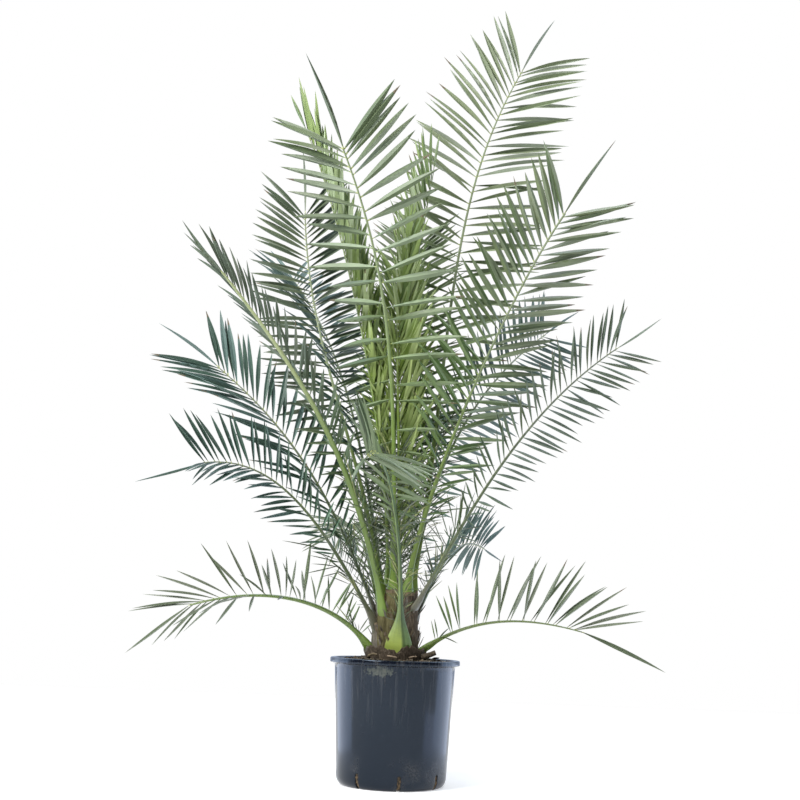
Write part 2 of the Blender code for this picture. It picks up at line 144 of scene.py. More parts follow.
# Dead pieces of stalk and husk that lie on the soil: the path, half the thickness and the skin
LYING = (
    (((0.074, -0.062, 0.3540), (0.086, -0.066, 0.3580), (0.098, -0.068, 0.3630),
      (0.112, -0.067, 0.3690)), 0.0088, 1),
    (((-0.022, -0.114, 0.3560), (-0.010, -0.119, 0.3550), (0.004, -0.121, 0.3530)),
     0.0028, 4),
    (((0.038, -0.110, 0.3530), (0.048, -0.108, 0.3560), (0.058, -0.101, 0.3570)), 0.0026, 4),
    (((-0.075, -0.085, 0.3540), (-0.062, -0.094, 0.3600), (-0.050, -0.101, 0.3580)), 0.0036, 3),
)
LYING_SIDES = 12
HUSK_FOOT = 0.344
HUSK_LOWEST = 0.3475  # at the ends of its torn top
FLAKES = 70
FLAKE_SIZE = (0.012, 0.040)
FLAKE_REACH = (0.076, 0.112)  # from the plant's axis
TORN_STRIPS = 120
STRIP_SIZE = (0.014, 0.046)
STRIP_HEIGHTS = (0.36, 0.49)

# A frond's rib
RIB_FOOT = 0.020
YOUNG_FOOT = 0.015
RIB_TIP = 0.0020
RIB_SWELL = 0.0056
FOOT_FLARE_LENGTH = 0.044
RIB_STATIONS = 64
RIB_SIDES = 18
RIB_CURVE_POINTS = 240
RIB_DEPTH = 0.0105
RIB_CROWN = 0.42  # how high its upper face is, as a share of its depth
RIB_SINK = 0.016
STOUT_RIB = 1.55  # from this width up, a rib has the stout ribs' skin

# A frond's leaflets
LEAFLET_WIDTH = 0.083  # at its widest, as a share of its length
CROWDING = 1.1  # above 1, leaflets stand closer towards a frond's tip
STRAY = (24, 6)  # how far leaflets leave their rank, in degrees
LEAFLET_SHARES = (0.0, 0.12, 0.35, 0.7, 1.0)
LEAFLET_SIZES = (0.25, 0.5, 0.90, 0.98, 1.0)
END_LEAFLET = 1.06  # the size of the leaflet at the tip of a rib
YOUNG_END_LEAFLET = 0.6
PAIRING = 0.14  # how far leaflets stand in pairs, as a share of their spacing
PAIR_SPREAD = 18  # degrees
BLADE_STATIONS = (0, 0.03, 0.08, 0.16, 0.27, 0.40, 0.53, 0.66, 0.78, 0.88, 0.95, 1)
BLADE_WIDTHS = (0.24, 0.26, 0.40, 0.62, 0.86, 1.0, 0.97, 0.82, 0.60, 0.36, 0.17, 0)
BLADE_THICK = 0.0011
BLADE_SAG = 0.06
BLADE_SWAY = 0.05
BLADE_TWIST = 0.5
BLADE_FOLD = (0.48, 0.80)
# Skins of a blade's two halves below and then above, by their place in its tone. They are
# lighter and darker copies of its green, so the halves carry painted light and shade.
LIT_AND_SHADED_HALVES = ((3, 1, 2, 0), (1, 3, 0, 2), (3, 3, 1, 0), (0, 3, 1, 1), (3, 0, 0, 0), (1, 2, 2, 1))
HALF_SHARES = (0.25, 0.2, 0.2, 0.15, 0.1, 0.1)
YOUNG_WIDTH = 0.75  # of a young frond's leaflets, which haven't opened
YOUNG_FOLD = 0.25
OPENED = 0.88  # beyond this share of a young frond's rib its leaflets have greened
DRY_TIPS = 0.12  # share of the leaflets
SPINE_SPACING = 0.0095
SPINE_LENGTH = (0.035, 0.160)
SPINE_WIDTH = (0.0024, 0.0066)
SPINE_OPENING = (26, 78)
SPINE_LIFT = (-25, 75)
SPINES_FROM = 0.05  # from the rib's foot
SPINES_BEYOND = 0.06  # past the first leaflets, as a share of the rib


class Frond(NamedTuple):
    """One frond. Angles are in degrees, and pairs go from its foot to its tip."""

    name: str
    turn: float  # of its foot round the trunk: 0 is +X, 90 the back, 270 the front
    height: float  # of its foot
    launch: float  # its slope at the foot
    tip: tuple  # where its rib ends
    arrive: float  # its slope at the tip
    open: tuple  # between leaflet and rib
    lift: tuple  # of each rank of leaflets out of the frond's flat
    leaflet: float = 0.20
    bare: float = 0.25  # share of the rib below the first leaflets
    hold: tuple = (0.38, 0.38)  # how long the rib keeps each end's slope
    roll: tuple = (0, 0)  # of the frond about its rib
    droop: float = 0.0  # of the leaflets
    foot: float = RIB_FOOT  # half the width of its foot
    stout: float = 1.0  # above 1, its rib is wider
    taper: float = 1.25  # below 1, its rib stays wide for longer
    crowd: float = CROWDING
    keel: float = 0.0  # how far the ridge under its foot stands off the middle
    dry: bool = False  # its foot is dry and brown
    spacing: float = 0.031  # of the leaflets along each side, on average
    slender: float = 1.0  # below 1, its leaflets are narrower
    stray: float = 1.0  # above 1, its leaflets stand in less order
    tone: str = "olive"
    split: bool = False  # its solid is in two nodes

    @property
    def young(self):
        """Whether its leaflets are still folded and pressed to the rib."""
        return self.name.startswith("young")

    @property
    def stalk(self):
        """The name of its rib's skin."""
        if self.dry:
            return "dry_rib"
        if self.keel:
            return "front_rib"
        return "stout_rib" if self.stout > STOUT_RIB else self.tone + "_rib"


FRONDS = (
    Frond("low_left", 192, 0.368, 52, (-0.579, -0.10, 0.475), -18, (82, 42), (74, 34),
          bare=0.10, hold=(0.34, 0.42), roll=(0, 35), droop=0.5,
          stout=1.6, spacing=0.023, slender=0.72, stray=1.7, tone="grey", split=True),
    Frond("low_right", -15, 0.368, 36, (0.514, -0.12, 0.441), -14, (80, 40), (78, 60),
          leaflet=0.23, bare=0.12, roll=(0, -10), droop=0.1,
          stout=1.2, spacing=0.034, slender=0.72, stray=1.7, tone="grey", split=True),
    Frond("right_upper", -52, 0.513, 90, (0.456, -0.10, 1.66), 57, (60, 40), (4, 14),
          leaflet=0.26, bare=0.17, hold=(0.18, 0.27), roll=(50, 77), stout=1.5,
          taper=3.0, spacing=0.027, slender=1.1),
    Frond("right_mid", -34, 0.478, 54, (0.64, 0.05, 1.29), 36, (70, 42), (0, -5),
          leaflet=0.17, bare=0.22, hold=(0.21, 0.41), roll=(27, 79),
          dry=True, spacing=0.022, tone="deep"),
    Frond("left_mid", 163, 0.45, 66, (-0.575, 0.10, 1.197), 38, (55, 30), (7, 12),
          leaflet=0.24, bare=0.20, roll=(12, 59), dry=True, spacing=0.023, tone="blue"),
    Frond("left_upper", 226, 0.47, 73, (-0.526, -0.25, 1.398), 46, (46, 19), (17, 17),
          leaflet=0.17, roll=(12, -12), stout=1.7, taper=0.7, spacing=0.021,
          slender=1.3, tone="deep"),
    Frond("tall_right", 25, 0.52, 80, (0.36, 0.30, 2.30), 58, (77, 39), (-13, 9),
          leaflet=0.29, bare=0.22, roll=(-34, -58), tone="pale"),
    Frond("left_low", 206, 0.425, 57, (-0.563, -0.15, 0.869), -12, (54, 66), (-20, 50),
          leaflet=0.18, bare=0.30, hold=(0.42, 0.34), roll=(64, 54), droop=0.15,
          dry=True, spacing=0.018, tone="blue", split=True),
    Frond("front_left", 250, 0.52, 88, (-0.20, -0.30, 1.756), 50, (92, 54), (15, 10),
          leaflet=0.27, hold=(0.5, 0.30), roll=(0, -10), stout=1.25, crowd=1.6,
          spacing=0.045, slender=1.2, stray=0.7, tone="fresh"),
    Frond("left_back", 165, 0.51, 80, (-0.351, 0.30, 1.769), 84, (75, 38), (-16, -20),
          leaflet=0.24, bare=0.20, roll=(25, 40), spacing=0.022, tone="deep"),
    Frond("right_back", 48, 0.415, 60, (0.287, 0.55, 0.70), -10, (66, 38), (18, 16),
          leaflet=0.17, bare=0.30, roll=(27, 67), dry=True, spacing=0.018, slender=1.2,
          tone="blue", split=True),
    Frond("front", 277, 0.368, 70, (-0.085, -0.80, 0.815), -22, (77, 70), (10, 31),
          leaflet=0.17, bare=0.42, roll=(1, 56), foot=0.036, keel=-0.5, spacing=0.030,
          slender=1.5, tone="dark", split=True),
    Frond("young_left", 195, 0.56, 90, (-0.34, 0.05, 1.957), 65, (24, 10), (60, 60),
          leaflet=0.22, bare=0.16, hold=(0.30, 0.20), foot=YOUNG_FOOT, crowd=0.7,
          spacing=0.014, slender=1.6, stray=1.6, tone="young"),
    Frond("young_right", 134, 0.56, 88, (0.065, 0.05, 1.84), 82, (40, 20), (60, 60),
          leaflet=0.21, bare=0.14, hold=(0.59, 0.45), foot=YOUNG_FOOT, crowd=0.7,
          spacing=0.014, slender=1.2, stray=1.4, tone="young"),
    Frond("young_centre", 90, 0.58, 92, (-0.035, 0.0, 1.50), 89, (30, 18), (60, 60),
          leaflet=0.24, bare=0.05, foot=YOUNG_FOOT, stout=1.4, spacing=0.010,
          slender=1.4, stray=1.6, tone="young"),
    Frond("back_tall", 95, 0.53, 84, (0.02, 0.50, 1.72), 60, (70, 40), (20, 10),
          leaflet=0.22, bare=0.14, spacing=0.022, tone="fresh"),
    Frond("back_right", 66, 0.47, 74, (0.469, 0.45, 1.421), 34, (70, 40), (5, 0),
          roll=(60, 110), bare=0.14, spacing=0.022, tone="blue"),
    Frond("back_left", 128, 0.47, 74, (-0.40, 0.50, 1.60), 42, (70, 40), (20, 10),
          bare=0.14, spacing=0.022, tone="blue"),
    Frond("back_mid", 98, 0.435, 70, (0.10, 0.78, 1.15), -5, (70, 40), (25, 15),
          droop=0.2, bare=0.14, spacing=0.022, tone="deep", split=True),
    Frond("back_low", 118, 0.40, 58, (-0.20, 0.62, 0.74), -20, (70, 40), (30, 15),
          leaflet=0.18, droop=0.3, bare=0.16, spacing=0.022, split=True),
)

# The colours of each tone: three upper skins of its leaflets, their underside, and its rib. The
# three upper skins are a middle, a lighter and a darker copy of one green: painted light and
# shade for the two sides of a blade's fold. The lightest is also a painted grey-blue sheen.
TONES = {
    "olive": ((0.132, 0.168, 0.086), (0.082, 0.117, 0.055), (0.192, 0.230, 0.162),
              (0.165, 0.200, 0.128), (0.130, 0.188, 0.045)),
    "pale": ((0.215, 0.258, 0.155), (0.145, 0.185, 0.103), (0.270, 0.312, 0.240),
             (0.255, 0.295, 0.215), (0.130, 0.188, 0.045)),
    "dark": ((0.080, 0.122, 0.058), (0.105, 0.152, 0.070), (0.150, 0.192, 0.110),
             (0.135, 0.180, 0.098), (0.130, 0.188, 0.045)),
    "deep": ((0.088, 0.114, 0.068), (0.056, 0.080, 0.048), (0.135, 0.162, 0.118),
             (0.115, 0.150, 0.110), (0.115, 0.165, 0.048)),
    "grey": ((0.145, 0.170, 0.118), (0.110, 0.140, 0.086), (0.190, 0.212, 0.166),
             (0.202, 0.228, 0.180), (0.125, 0.165, 0.055)),
    "blue": ((0.060, 0.107, 0.082), (0.101, 0.160, 0.146), (0.043, 0.076, 0.059),
             (0.102, 0.149, 0.138), (0.105, 0.140, 0.062)),
    "fresh": ((0.105, 0.140, 0.070), (0.120, 0.158, 0.086), (0.078, 0.112, 0.052),
              (0.210, 0.256, 0.178), (0.160, 0.240, 0.048)),
    "young": ((0.212, 0.289, 0.105), (0.301, 0.384, 0.196), (0.142, 0.205, 0.090),
              (0.378, 0.460, 0.294), (0.180, 0.265, 0.045)),
}
LEAFLET_BASE = (0.34, 0.38, 0.15)
LEAFLET_DRY_TIP = (0.14, 0.115, 0.075)
STALK_BRIGHT = (0.155, 0.240, 0.042)

# Painted light and shade in the middle of the crown: the leaves' green is multiplied there. For
# most tones it is shifted greener and lighter in its green, standing in for light through the
# leaves. For the young fronds it is darker, standing in for shade.
CROWN_PAINTED_LIGHT = (0.95, 1.20, 0.68)
CROWN_PAINTED_LIGHTS = {"fresh": (0.95, 1.04, 0.76), "young": (0.864, 0.898, 0.514)}

FLOOR_SIZE = 7

# The camera, where the photograph was taken from
CAMERA_PLACE = (-0.0136, -3.505, 0.46)
CAMERA_PITCH = radians(10.3)
CAMERA_ROLL = radians(2.12)
CAMERA_LENS = 54

# Soft lamps: place, aim, size, power and colour. The panels show only in the pot's gloss
LAMPS = (
    ("key", (-2.4, -2.2, 3.7), (0, 0, 1.1), (1.8, 1.8), 230, (1.0, 0.99, 0.96)),
    ("panel_left", (-0.60, 0.18, 0.155), (0, 0, 0.155), (0.62, 0.30), 1.05, (0.60, 0.72, 1.0)),
    ("panel_right", (0.60, 0.18, 0.155), (0, 0, 0.155), (0.62, 0.30), 1.05, (0.60, 0.72, 1.0)),
    ("panel_low", (0.556, -0.22, 0.070), (0, 0, 0.070), (0.24, 0.13), 0.11, (0.66, 0.72, 1.0)),
    ("overhead", (0.8, 0.2, 4.8), (0, 0, 0.8), (3.0, 3.0), 120, (0.97, 0.99, 1.0)),
)

# What gloss mirrors, from straight in front (0) to straight behind (1): a dim room before
# the plant, a bright window on each side of it, and a paler wall behind
GLOSS_BANDS = ((0.34, (0.07, 0.10, 0.17)), (0.46, (0.15, 0.19, 0.28)),
               (0.52, (1.8, 2.25, 3.0)), (0.80, (2.4, 2.75, 3.3)), (0.90, (0.55, 0.65, 0.85)))


def unit(vector):
    return vector / np.linalg.norm(vector)


def sloped(level, slope):
    return level * cos(radians(slope)) + (0, 0, sin(radians(slope)))


def spot(out, turn, height):
    """A point by its distance from the plant's axis, its turn round it and its height."""
    return out * cos(turn), out * sin(turn), height


def directions(turn):
    """The level directions at a turn: away from the axis, and across to its left."""
    return np.array(spot(1, turn, 0)), np.array((-sin(turn), cos(turn), 0))


# Materials


class Wiring:
    """The nodes of a material or of the world, under construction."""

    def __init__(self, tree):
        self.tree = tree

    def node(self, kind, **values):
        made = self.tree.nodes.new(kind)
        for key, value in values.items():
            if key in made.inputs:
                made.inputs[key].default_value = value
            else:
                setattr(made, key, value)
        return made

    def link(self, source, target):
        self.tree.links.new(source, target)

    def coordinates(self, kind="Object", scale=(1, 1, 1)):
        place = self.node("ShaderNodeTexCoord")
        mapping = self.node("ShaderNodeMapping", Scale=scale)
        self.link(place.outputs[kind], mapping.inputs["Vector"])
        return mapping.outputs["Vector"]

    def axes(self, vector):
        """The vector's X, Y and Z."""
        made = self.node("ShaderNodeSeparateXYZ")
        self.link(vector, made.inputs[0])
        return made.outputs

    def distance(self, vector):
        made = self.node("ShaderNodeVectorMath", operation="LENGTH")
        self.link(vector, made.inputs[0])
        return made.outputs["Value"]

    def noise(self, vector, scale, detail, rough=0.55):
        made = self.node("ShaderNodeTexNoise", Scale=scale, Detail=detail, Roughness=rough)
        self.link(vector, made.inputs["Vector"])
        return made.outputs["Fac"]

    def ramp(self, value, stops):
        """Colours (red, green, blue) at places from 0 to 1."""
        made = self.node("ShaderNodeValToRGB")
        line = made.color_ramp.elements
        while len(line) < len(stops):
            line.new(0.5)
        for element, (place, colour) in zip(line, stops):
            element.position = place
            element.color = (*colour, 1)
        self.link(value, made.inputs["Fac"])
        return made.outputs["Color"]

    def mix(self, share, first, second, mode="MIX"):
        """A blend of two colours."""
        made = self.node("ShaderNodeMix", data_type="RGBA", blend_type=mode)
        for source, socket in ((share, 0), (first, 6), (second, 7)):
            if isinstance(source, (int, float)):
                made.inputs[socket].default_value = source
            elif isinstance(source, tuple):
                made.inputs[socket].default_value = (*source, 1)
            else:
                self.link(source, made.inputs[socket])
        return made.outputs[2]

    def math(self, operation, first, second, clamp=False):
        made = self.node("ShaderNodeMath", operation=operation, use_clamp=clamp)
        for index, source in enumerate((first, second)):
            if isinstance(source, (int, float)):
                made.inputs[index].default_value = source
            else:
                self.link(source, made.inputs[index])
        return made.outputs[0]

    def map_range(self, value, low, high, out_low=0.0, out_high=1.0):
        made = self.node("ShaderNodeMapRange")
        for index, number in enumerate((low, high, out_low, out_high), start=1):
            made.inputs[index].default_value = number
        self.link(value, made.inputs["Value"])
        return made.outputs["Result"]

    def bump(self, height, strength, distance, under=None):
        made = self.node("ShaderNodeBump", Strength=strength, Distance=distance)
        self.link(height, made.inputs["Height"])
        if under:
            self.link(under, made.inputs["Normal"])
        return made.outputs["Normal"]


class Finish(Wiring):
    """A material under construction: a Principled shader and the nodes that feed it."""

    def __init__(self, name, roughness, specular=0.5):
        self.material = bpy.data.materials.new(name)
        self.material.use_nodes = True
        super().__init__(self.material.node_tree)
        self.shader = self.tree.nodes["Principled BSDF"]
        self.shader.inputs["Roughness"].default_value = roughness
        self.shader.inputs["Specular IOR Level"].default_value = specular

    def crown_middle(self):
        """Where light and shade are painted on the leaves: 1 low round the plant's axis,
        falling to 0 where the fronds part and higher up.
        """
        out = self.distance(self.coordinates("Object", (1, 1, 0)))
        height = self.axes(self.coordinates())["Z"]
        return self.math("MULTIPLY", self.map_range(out, 0.10, 0.36, 1, 0),
                         self.map_range(height, 1.20, 1.70, 1, 0))

    def finish(self, colour=None, roughness=None, normal=None):
        targets = (("Base Color", colour), ("Roughness", roughness), ("Normal", normal))
        for socket, source in targets:
            if source is not None:
                self.link(source, self.shader.inputs[socket])
        return self.material


def shades(colour, vary):
    """A darker and a lighter shade of a colour."""
    return [tuple(part * (1 + change) for part in colour) for change in (-vary, vary)]


def leaf_finish(name, colour, middle, roughness):
    """Leaf skin: fine veins along the blade, a slow drift of the green, and painted light and
    shade in the middle of the crown.
    """
    made = Finish(name, roughness, 0.30)
    drift = made.noise(made.coordinates(), 9, 3)
    dark, light = shades(colour, 0.20)
    tint = made.ramp(drift, [(0.3, dark), (0.7, light)])
    streaks = made.noise(made.coordinates("UV", (26, 1.2, 1)), 5, 3)
    tint = made.mix(made.map_range(streaks, 0.42, 0.7, 0, 0.35), tint, light)
    # painted light and shade: the green is multiplied by the crown's painted light towards the
    # middle of the crown
    tint = made.mix(made.crown_middle(), tint, middle, "MULTIPLY")
    rough = made.map_range(drift, 0.3, 0.7, roughness - 0.06, roughness + 0.08)
    return made.finish(tint, rough)


def petiole_finish(name, green, pale, far=None, flank=0.0, foot=0.035):
    """Stalk skin along a frond: pale up its foot, then green, then a far colour.

    Where a flank starts, part way round the stalk, painted shade runs. A dark line stands for
    the shadow of the fold, and beyond it lies a darker, duller flank, the side turned from the
    light.
    """
    made = Finish(name, 0.38)
    place = made.axes(made.node("ShaderNodeUVMap").outputs["UV"])
    ragged = made.noise(made.coordinates("UV", (3, 30, 1)), 3, 3)
    along = made.math("ADD", place["Y"], made.map_range(ragged, 0, 1, -0.02, 0.02))
    far = far or tuple(part * 0.7 + 0.115 for part in green)
    skin = made.ramp(along, [(0.0, pale), (foot, pale), (foot + 0.085, green),
                             (0.45, green), (0.85, far)])
    streaks = made.noise(made.coordinates("UV", (14, 2, 1)), 4, 4)
    skin = made.mix(made.map_range(streaks, 0.45, 0.75, 0, 0.55), skin, pale)
    fleck = made.noise(made.coordinates(), 260, 2)
    skin = made.mix(made.map_range(fleck, 0.66, 0.74, 0, 0.5), skin, (0.10, 0.075, 0.035))
    # painted shade: a dark line where the flank starts, the flank beyond it darkened, and a
    # slight tint round the rest
    if flank:
        shade = made.ramp(place["X"], [
            (flank - 0.045, (1, 1, 1)), (flank - 0.014, (0.20, 0.30, 0.22)),
            (flank + 0.008, (0.20, 0.30, 0.22)), (flank + 0.03, (0.42, 0.58, 0.62)),
            (0.5, (0.46, 0.60, 0.62)), (0.53, (0.9, 0.95, 0.8))])
        skin = made.mix(1.0, skin, shade, "MULTIPLY")
    rough = made.map_range(streaks, 0.3, 0.7, 0.30, 0.46)
    return made.finish(skin, rough, made.bump(streaks, 0.25, 0.0006))


def fibre_finish(name, dark, mid, light, scale=(34, 34, 5)):
    """Dry palm fibre: streaks that run up the trunk, brown to straw."""
    made = Finish(name, 0.85, 0.25)
    place = made.coordinates("Object", scale)
    streaks = made.noise(place, 5, 6, 0.65)
    patches = made.noise(made.coordinates(), 22, 4)
    skin = made.ramp(streaks, [(0.28, dark), (0.52, mid), (0.75, light)])
    skin = made.mix(made.map_range(patches, 0.45, 0.65, 0, 0.55), skin, dark)
    return made.finish(skin, None, made.bump(streaks, 0.8, 0.003))


def plain_finish(name, colour, roughness, vary, scale=60):
    """A grainy skin that varies in shade, such as soil, root or dry stalk."""
    made = Finish(name, roughness, 0.3)
    grain = made.noise(made.coordinates(), scale, 4)
    dark, light = shades(colour, vary)
    skin = made.ramp(grain, [(0.3, dark), (0.7, light)])
    return made.finish(skin, None, made.bump(grain, 0.5, 0.001))


def pot_patch(made, axes, middle, reach):
    """1 in a ragged patch on the pot's front, round a place (x, z), falling to 0 outside."""
    squares = []
    for axis, centre, half in zip("XZ", middle, reach):
        away = made.math("DIVIDE", made.math("SUBTRACT", axes[axis], centre), half)
        squares.append(made.math("MULTIPLY", away, away))
    off = made.math("ADD", *squares)
    ragged = made.noise(made.coordinates("Object", (130, 130, 90)), 1, 5, 0.65)
    off = made.math("ADD", off, made.map_range(ragged, 0.25, 0.75, -1.5, 1.5))
    front = made.map_range(axes["Y"], -0.06, -0.12)
    return made.math("MULTIPLY", made.map_range(off, 1.25, 0.35), front)


def pot_finish():
    """Glossy black plastic, with soil dust and scuffs near the rim and low on the wall."""
    made = Finish("pot_plastic", 0.16, 0.42)
    made.shader.inputs["Specular Tint"].default_value = (0.62, 0.78, 1.0, 1)
    place = made.coordinates()
    axes = made.axes(place)
    height = axes["Z"]
    clouds = made.noise(place, 7, 5, 0.6)
    streaks = made.noise(made.coordinates("Object", (60, 60, 5)), 2.2, 5, 0.6)
    specks = made.noise(place, 240, 3, 0.7)
    skin = made.mix(made.map_range(clouds, 0.35, 0.7, 0, 1), (0.0030, 0.0042, 0.0080),
                    (0.0060, 0.0070, 0.0110))
    near_rim = made.map_range(height, POT_HEIGHT - 0.09, POT_HEIGHT - 0.02)
    near_foot = made.map_range(height, 0.10, 0.0)
    dusty = made.math("MULTIPLY", made.map_range(streaks, 0.56, 0.72), near_rim)
    dusty = made.math("MAXIMUM", dusty, made.math(
        "MULTIPLY", made.map_range(clouds, 0.52, 0.66), near_foot))
    dusty = made.math("MULTIPLY", dusty, made.map_range(specks, 0.35, 0.62))
    skin = made.mix(made.math("MULTIPLY", dusty, 0.55), skin, (0.16, 0.145, 0.125))
    patch = made.math("MULTIPLY", pot_patch(made, axes, (-0.040, 0.316), (0.036, 0.013)),
                      made.map_range(specks, 0.30, 0.60, 0.35, 1))
    skin = made.mix(made.math("MULTIPLY", patch, 0.36), skin, (0.29, 0.31, 0.25))
    dusty = made.math("MAXIMUM", dusty, patch)
    drips = made.noise(made.coordinates("Object", (95, 95, 3.5)), 1, 4, 0.5)
    drips = made.math("MULTIPLY", made.map_range(drips, 0.54, 0.70, 0, 0.30),
                      made.map_range(height, POT_HEIGHT - 0.20, POT_HEIGHT - 0.04))
    skin = made.mix(drips, skin, (0.115, 0.118, 0.120))
    scuffs = made.noise(made.coordinates("Object", (9, 9, 34)), 6, 4, 0.7)
    scuffed = made.map_range(scuffs, 0.68, 0.73, 0, 0.4)
    skin = made.mix(scuffed, skin, (0.10, 0.11, 0.13))
    rough = made.math("ADD", made.map_range(clouds, 0.3, 0.7, 0.12, 0.20),
                      made.math("MULTIPLY", dusty, 0.5), clamp=True)
    waviness = made.bump(made.noise(place, 16, 2), 0.12, 0.002)
    return made.finish(skin, rough, made.bump(specks, 0.05, 0.0004, under=waviness))


def make_finishes():
    made = {"pot": pot_finish()}
    for tone, (*greens, under, _) in TONES.items():
        skins = [(str(index), colour, 0.42) for index, colour in enumerate(greens)]
        skins += [("under", under, 0.5), ("base", LEAFLET_BASE, 0.5),
                  ("dry_tip", LEAFLET_DRY_TIP, 0.7)]
        # the painted light and shade of the crown's middle, for this tone
        middle = CROWN_PAINTED_LIGHTS.get(tone, CROWN_PAINTED_LIGHT)
        made[tone] = [leaf_finish(f"{tone}_leaf_{part}", colour, middle, roughness)
                      for part, colour, roughness in skins]
    for tone, (*_, stalk) in TONES.items():
        made[tone + "_rib"] = petiole_finish(tone + "_rib", stalk, STALK_BRIGHT)
    made["stout_rib"] = petiole_finish("stout_rib", (0.108, 0.165, 0.038), STALK_BRIGHT,
                                       (0.330, 0.370, 0.200))
    # the front frond's stalk, with painted shade along its far flank
    made["front_rib"] = petiole_finish("front_rib", (0.095, 0.150, 0.052),
                                       (0.360, 0.450, 0.095), flank=0.333, foot=0.020)
    made["dry_rib"] = petiole_finish("dry_rib", (0.105, 0.140, 0.068),
                                     (0.138, 0.135, 0.095), foot=0.055)
    made["spine"] = [
        plain_finish("spine_pale", (0.27, 0.29, 0.13), 0.5, 0.2),
        plain_finish("spine_green", (0.070, 0.100, 0.045), 0.5, 0.3),
        plain_finish("spine_grey", (0.100, 0.120, 0.085), 0.5, 0.3),
    ]
    made["soil"] = plain_finish("compost", (0.080, 0.068, 0.053), 0.95, 0.5, 90)
    made["crumbs"] = [
        plain_finish("crumb_dark", (0.080, 0.067, 0.052), 0.95, 0.5, 120),
        plain_finish("crumb_brown", (0.105, 0.080, 0.055), 0.95, 0.5, 120),
        plain_finish("crumb_pale", (0.190, 0.160, 0.120), 0.9, 0.4, 120),
    ]
    made["trunk"] = fibre_finish("trunk_fibre", (0.030, 0.018, 0.011), (0.115, 0.068, 0.035),
                                 (0.27, 0.185, 0.105))
    made["strand"] = [
        plain_finish("strand_brown", (0.13, 0.075, 0.038), 0.85, 0.4),
        plain_finish("strand_straw", (0.28, 0.20, 0.115), 0.85, 0.4),
    ]
    made["stub"] = fibre_finish("stub_bark", (0.055, 0.040, 0.028), (0.17, 0.13, 0.09),
                                (0.33, 0.28, 0.21), (60, 60, 12))
    made["sheath"] = [
        fibre_finish("sheath_olive", (0.060, 0.050, 0.020), (0.125, 0.110, 0.048),
                     (0.26, 0.24, 0.13), (60, 60, 9)),
        fibre_finish("sheath_brown", (0.036, 0.027, 0.019), (0.105, 0.080, 0.056),
                     (0.25, 0.205, 0.15), (60, 60, 9)),
        fibre_finish("sheath_grey", (0.060, 0.050, 0.038), (0.180, 0.160, 0.130),
                     (0.38, 0.36, 0.31), (60, 60, 9)),
        plain_finish("sheath_edge", (0.150, 0.115, 0.070), 0.8, 0.4, 90),
        plain_finish("husk_pale", (0.270, 0.205, 0.145), 0.8, 0.4, 90),
    ]
    made["root"] = plain_finish("root_skin", (0.215, 0.150, 0.090), 0.7, 0.5)
    made["floor"] = floor_finish()
    return made


def floor_finish():
    """White paper that glows more with the distance, so that it has no horizon."""
    made = Finish("floor_paper", 0.9, 0.3)
    glow = made.ramp(made.map_range(made.distance(made.coordinates()), 0.9, 3.4),
                     [(0.0, (0.52, 0.52, 0.52)), (1.0, (1, 1, 1))])
    made.link(glow, made.shader.inputs["Emission Color"])
    made.shader.inputs["Emission Strength"].default_value = 0.86
    made.shader.inputs["Base Color"].default_value = (0.80, 0.80, 0.80, 1)
    return made.material


# Shapes from arrays: many small closed pieces joined in one mesh


class Sheaf:
    """Vertices, faces, materials and UVs of many small shapes, joined in one mesh."""

    def __init__(self):
        self.points = []
        self.faces = []
        self.skins = []
        self.uvs = []
        self.count = 0

    def add(self, points, faces, skins, uvs):
        """Faces are tuples of indices into these points; each point has one UV."""
        self.points.append(np.asarray(points))
        for face, skin in zip(faces, skins):
            self.faces.append(tuple(index + self.count for index in face))
            self.skins.append(skin)
            self.uvs.extend(uvs[index] for index in face)
        self.count += len(points)

    def build(self, name, materials, crease=radians(28)):
        mesh = bpy.data.meshes.new(name)
        mesh.from_pydata(np.concatenate(self.points).tolist(), [], self.faces)
        for material in materials:
            mesh.materials.append(material)
        mesh.polygons.foreach_set("material_index", np.array(self.skins, dtype=np.int32))
        layer = mesh.uv_layers.new(name="UVMap")
        layer.data.foreach_set("uv", np.array(self.uvs, dtype=np.float32).ravel())
        mesh.shade_smooth()
        mesh.set_sharp_from_angle(angle=crease)
        mesh.update()
        made = bpy.data.objects.new(name, mesh)
        bpy.context.scene.collection.objects.link(made)
        return made


def tube(rings, skin=0, skins=None):
    """A tube through rings of points, with both ends closed: points, faces, skins, UVs."""
    sides = len(rings[0])
    rows = len(rings)
    points = [point for ring in rings for point in ring]
    uvs = [(side / sides, row / (rows - 1)) for row in range(rows) for side in range(sides)]
    faces = []
    worn = []
    for row in range(rows - 1):
        for side in range(sides):
            after = (side + 1) % sides
            low = row * sides
            faces.append((low + side, low + after, low + sides + after, low + sides + side))
            worn.append(skins[row] if skins else skin)
    faces.append(tuple(reversed(range(sides))))
    faces.append(tuple(range((rows - 1) * sides, rows * sides)))
    worn += [worn[0], worn[0]]
    return points, faces, worn, uvs


def strand(line, radius, sides, taper):
    """Rings of a thin round strand along a line of points."""
    line = [np.asarray(point, float) for point in line]
    turns = [2 * pi * side / sides for side in range(sides)]
    rings = []
    for index, point in enumerate(line):
        along = unit(line[min(index + 1, len(line) - 1)] - line[max(index - 1, 0)])
        across = unit(np.cross(along, (0.31, 0.17, 0.94)))
        above = np.cross(across, along)
        size = radius * (1 - (1 - taper) * index / (len(line) - 1))
        rings.append([point + size * (cos(t) * across - sin(t) * above) for t in turns])
    return rings


# Turned shapes, modelled ring by ring


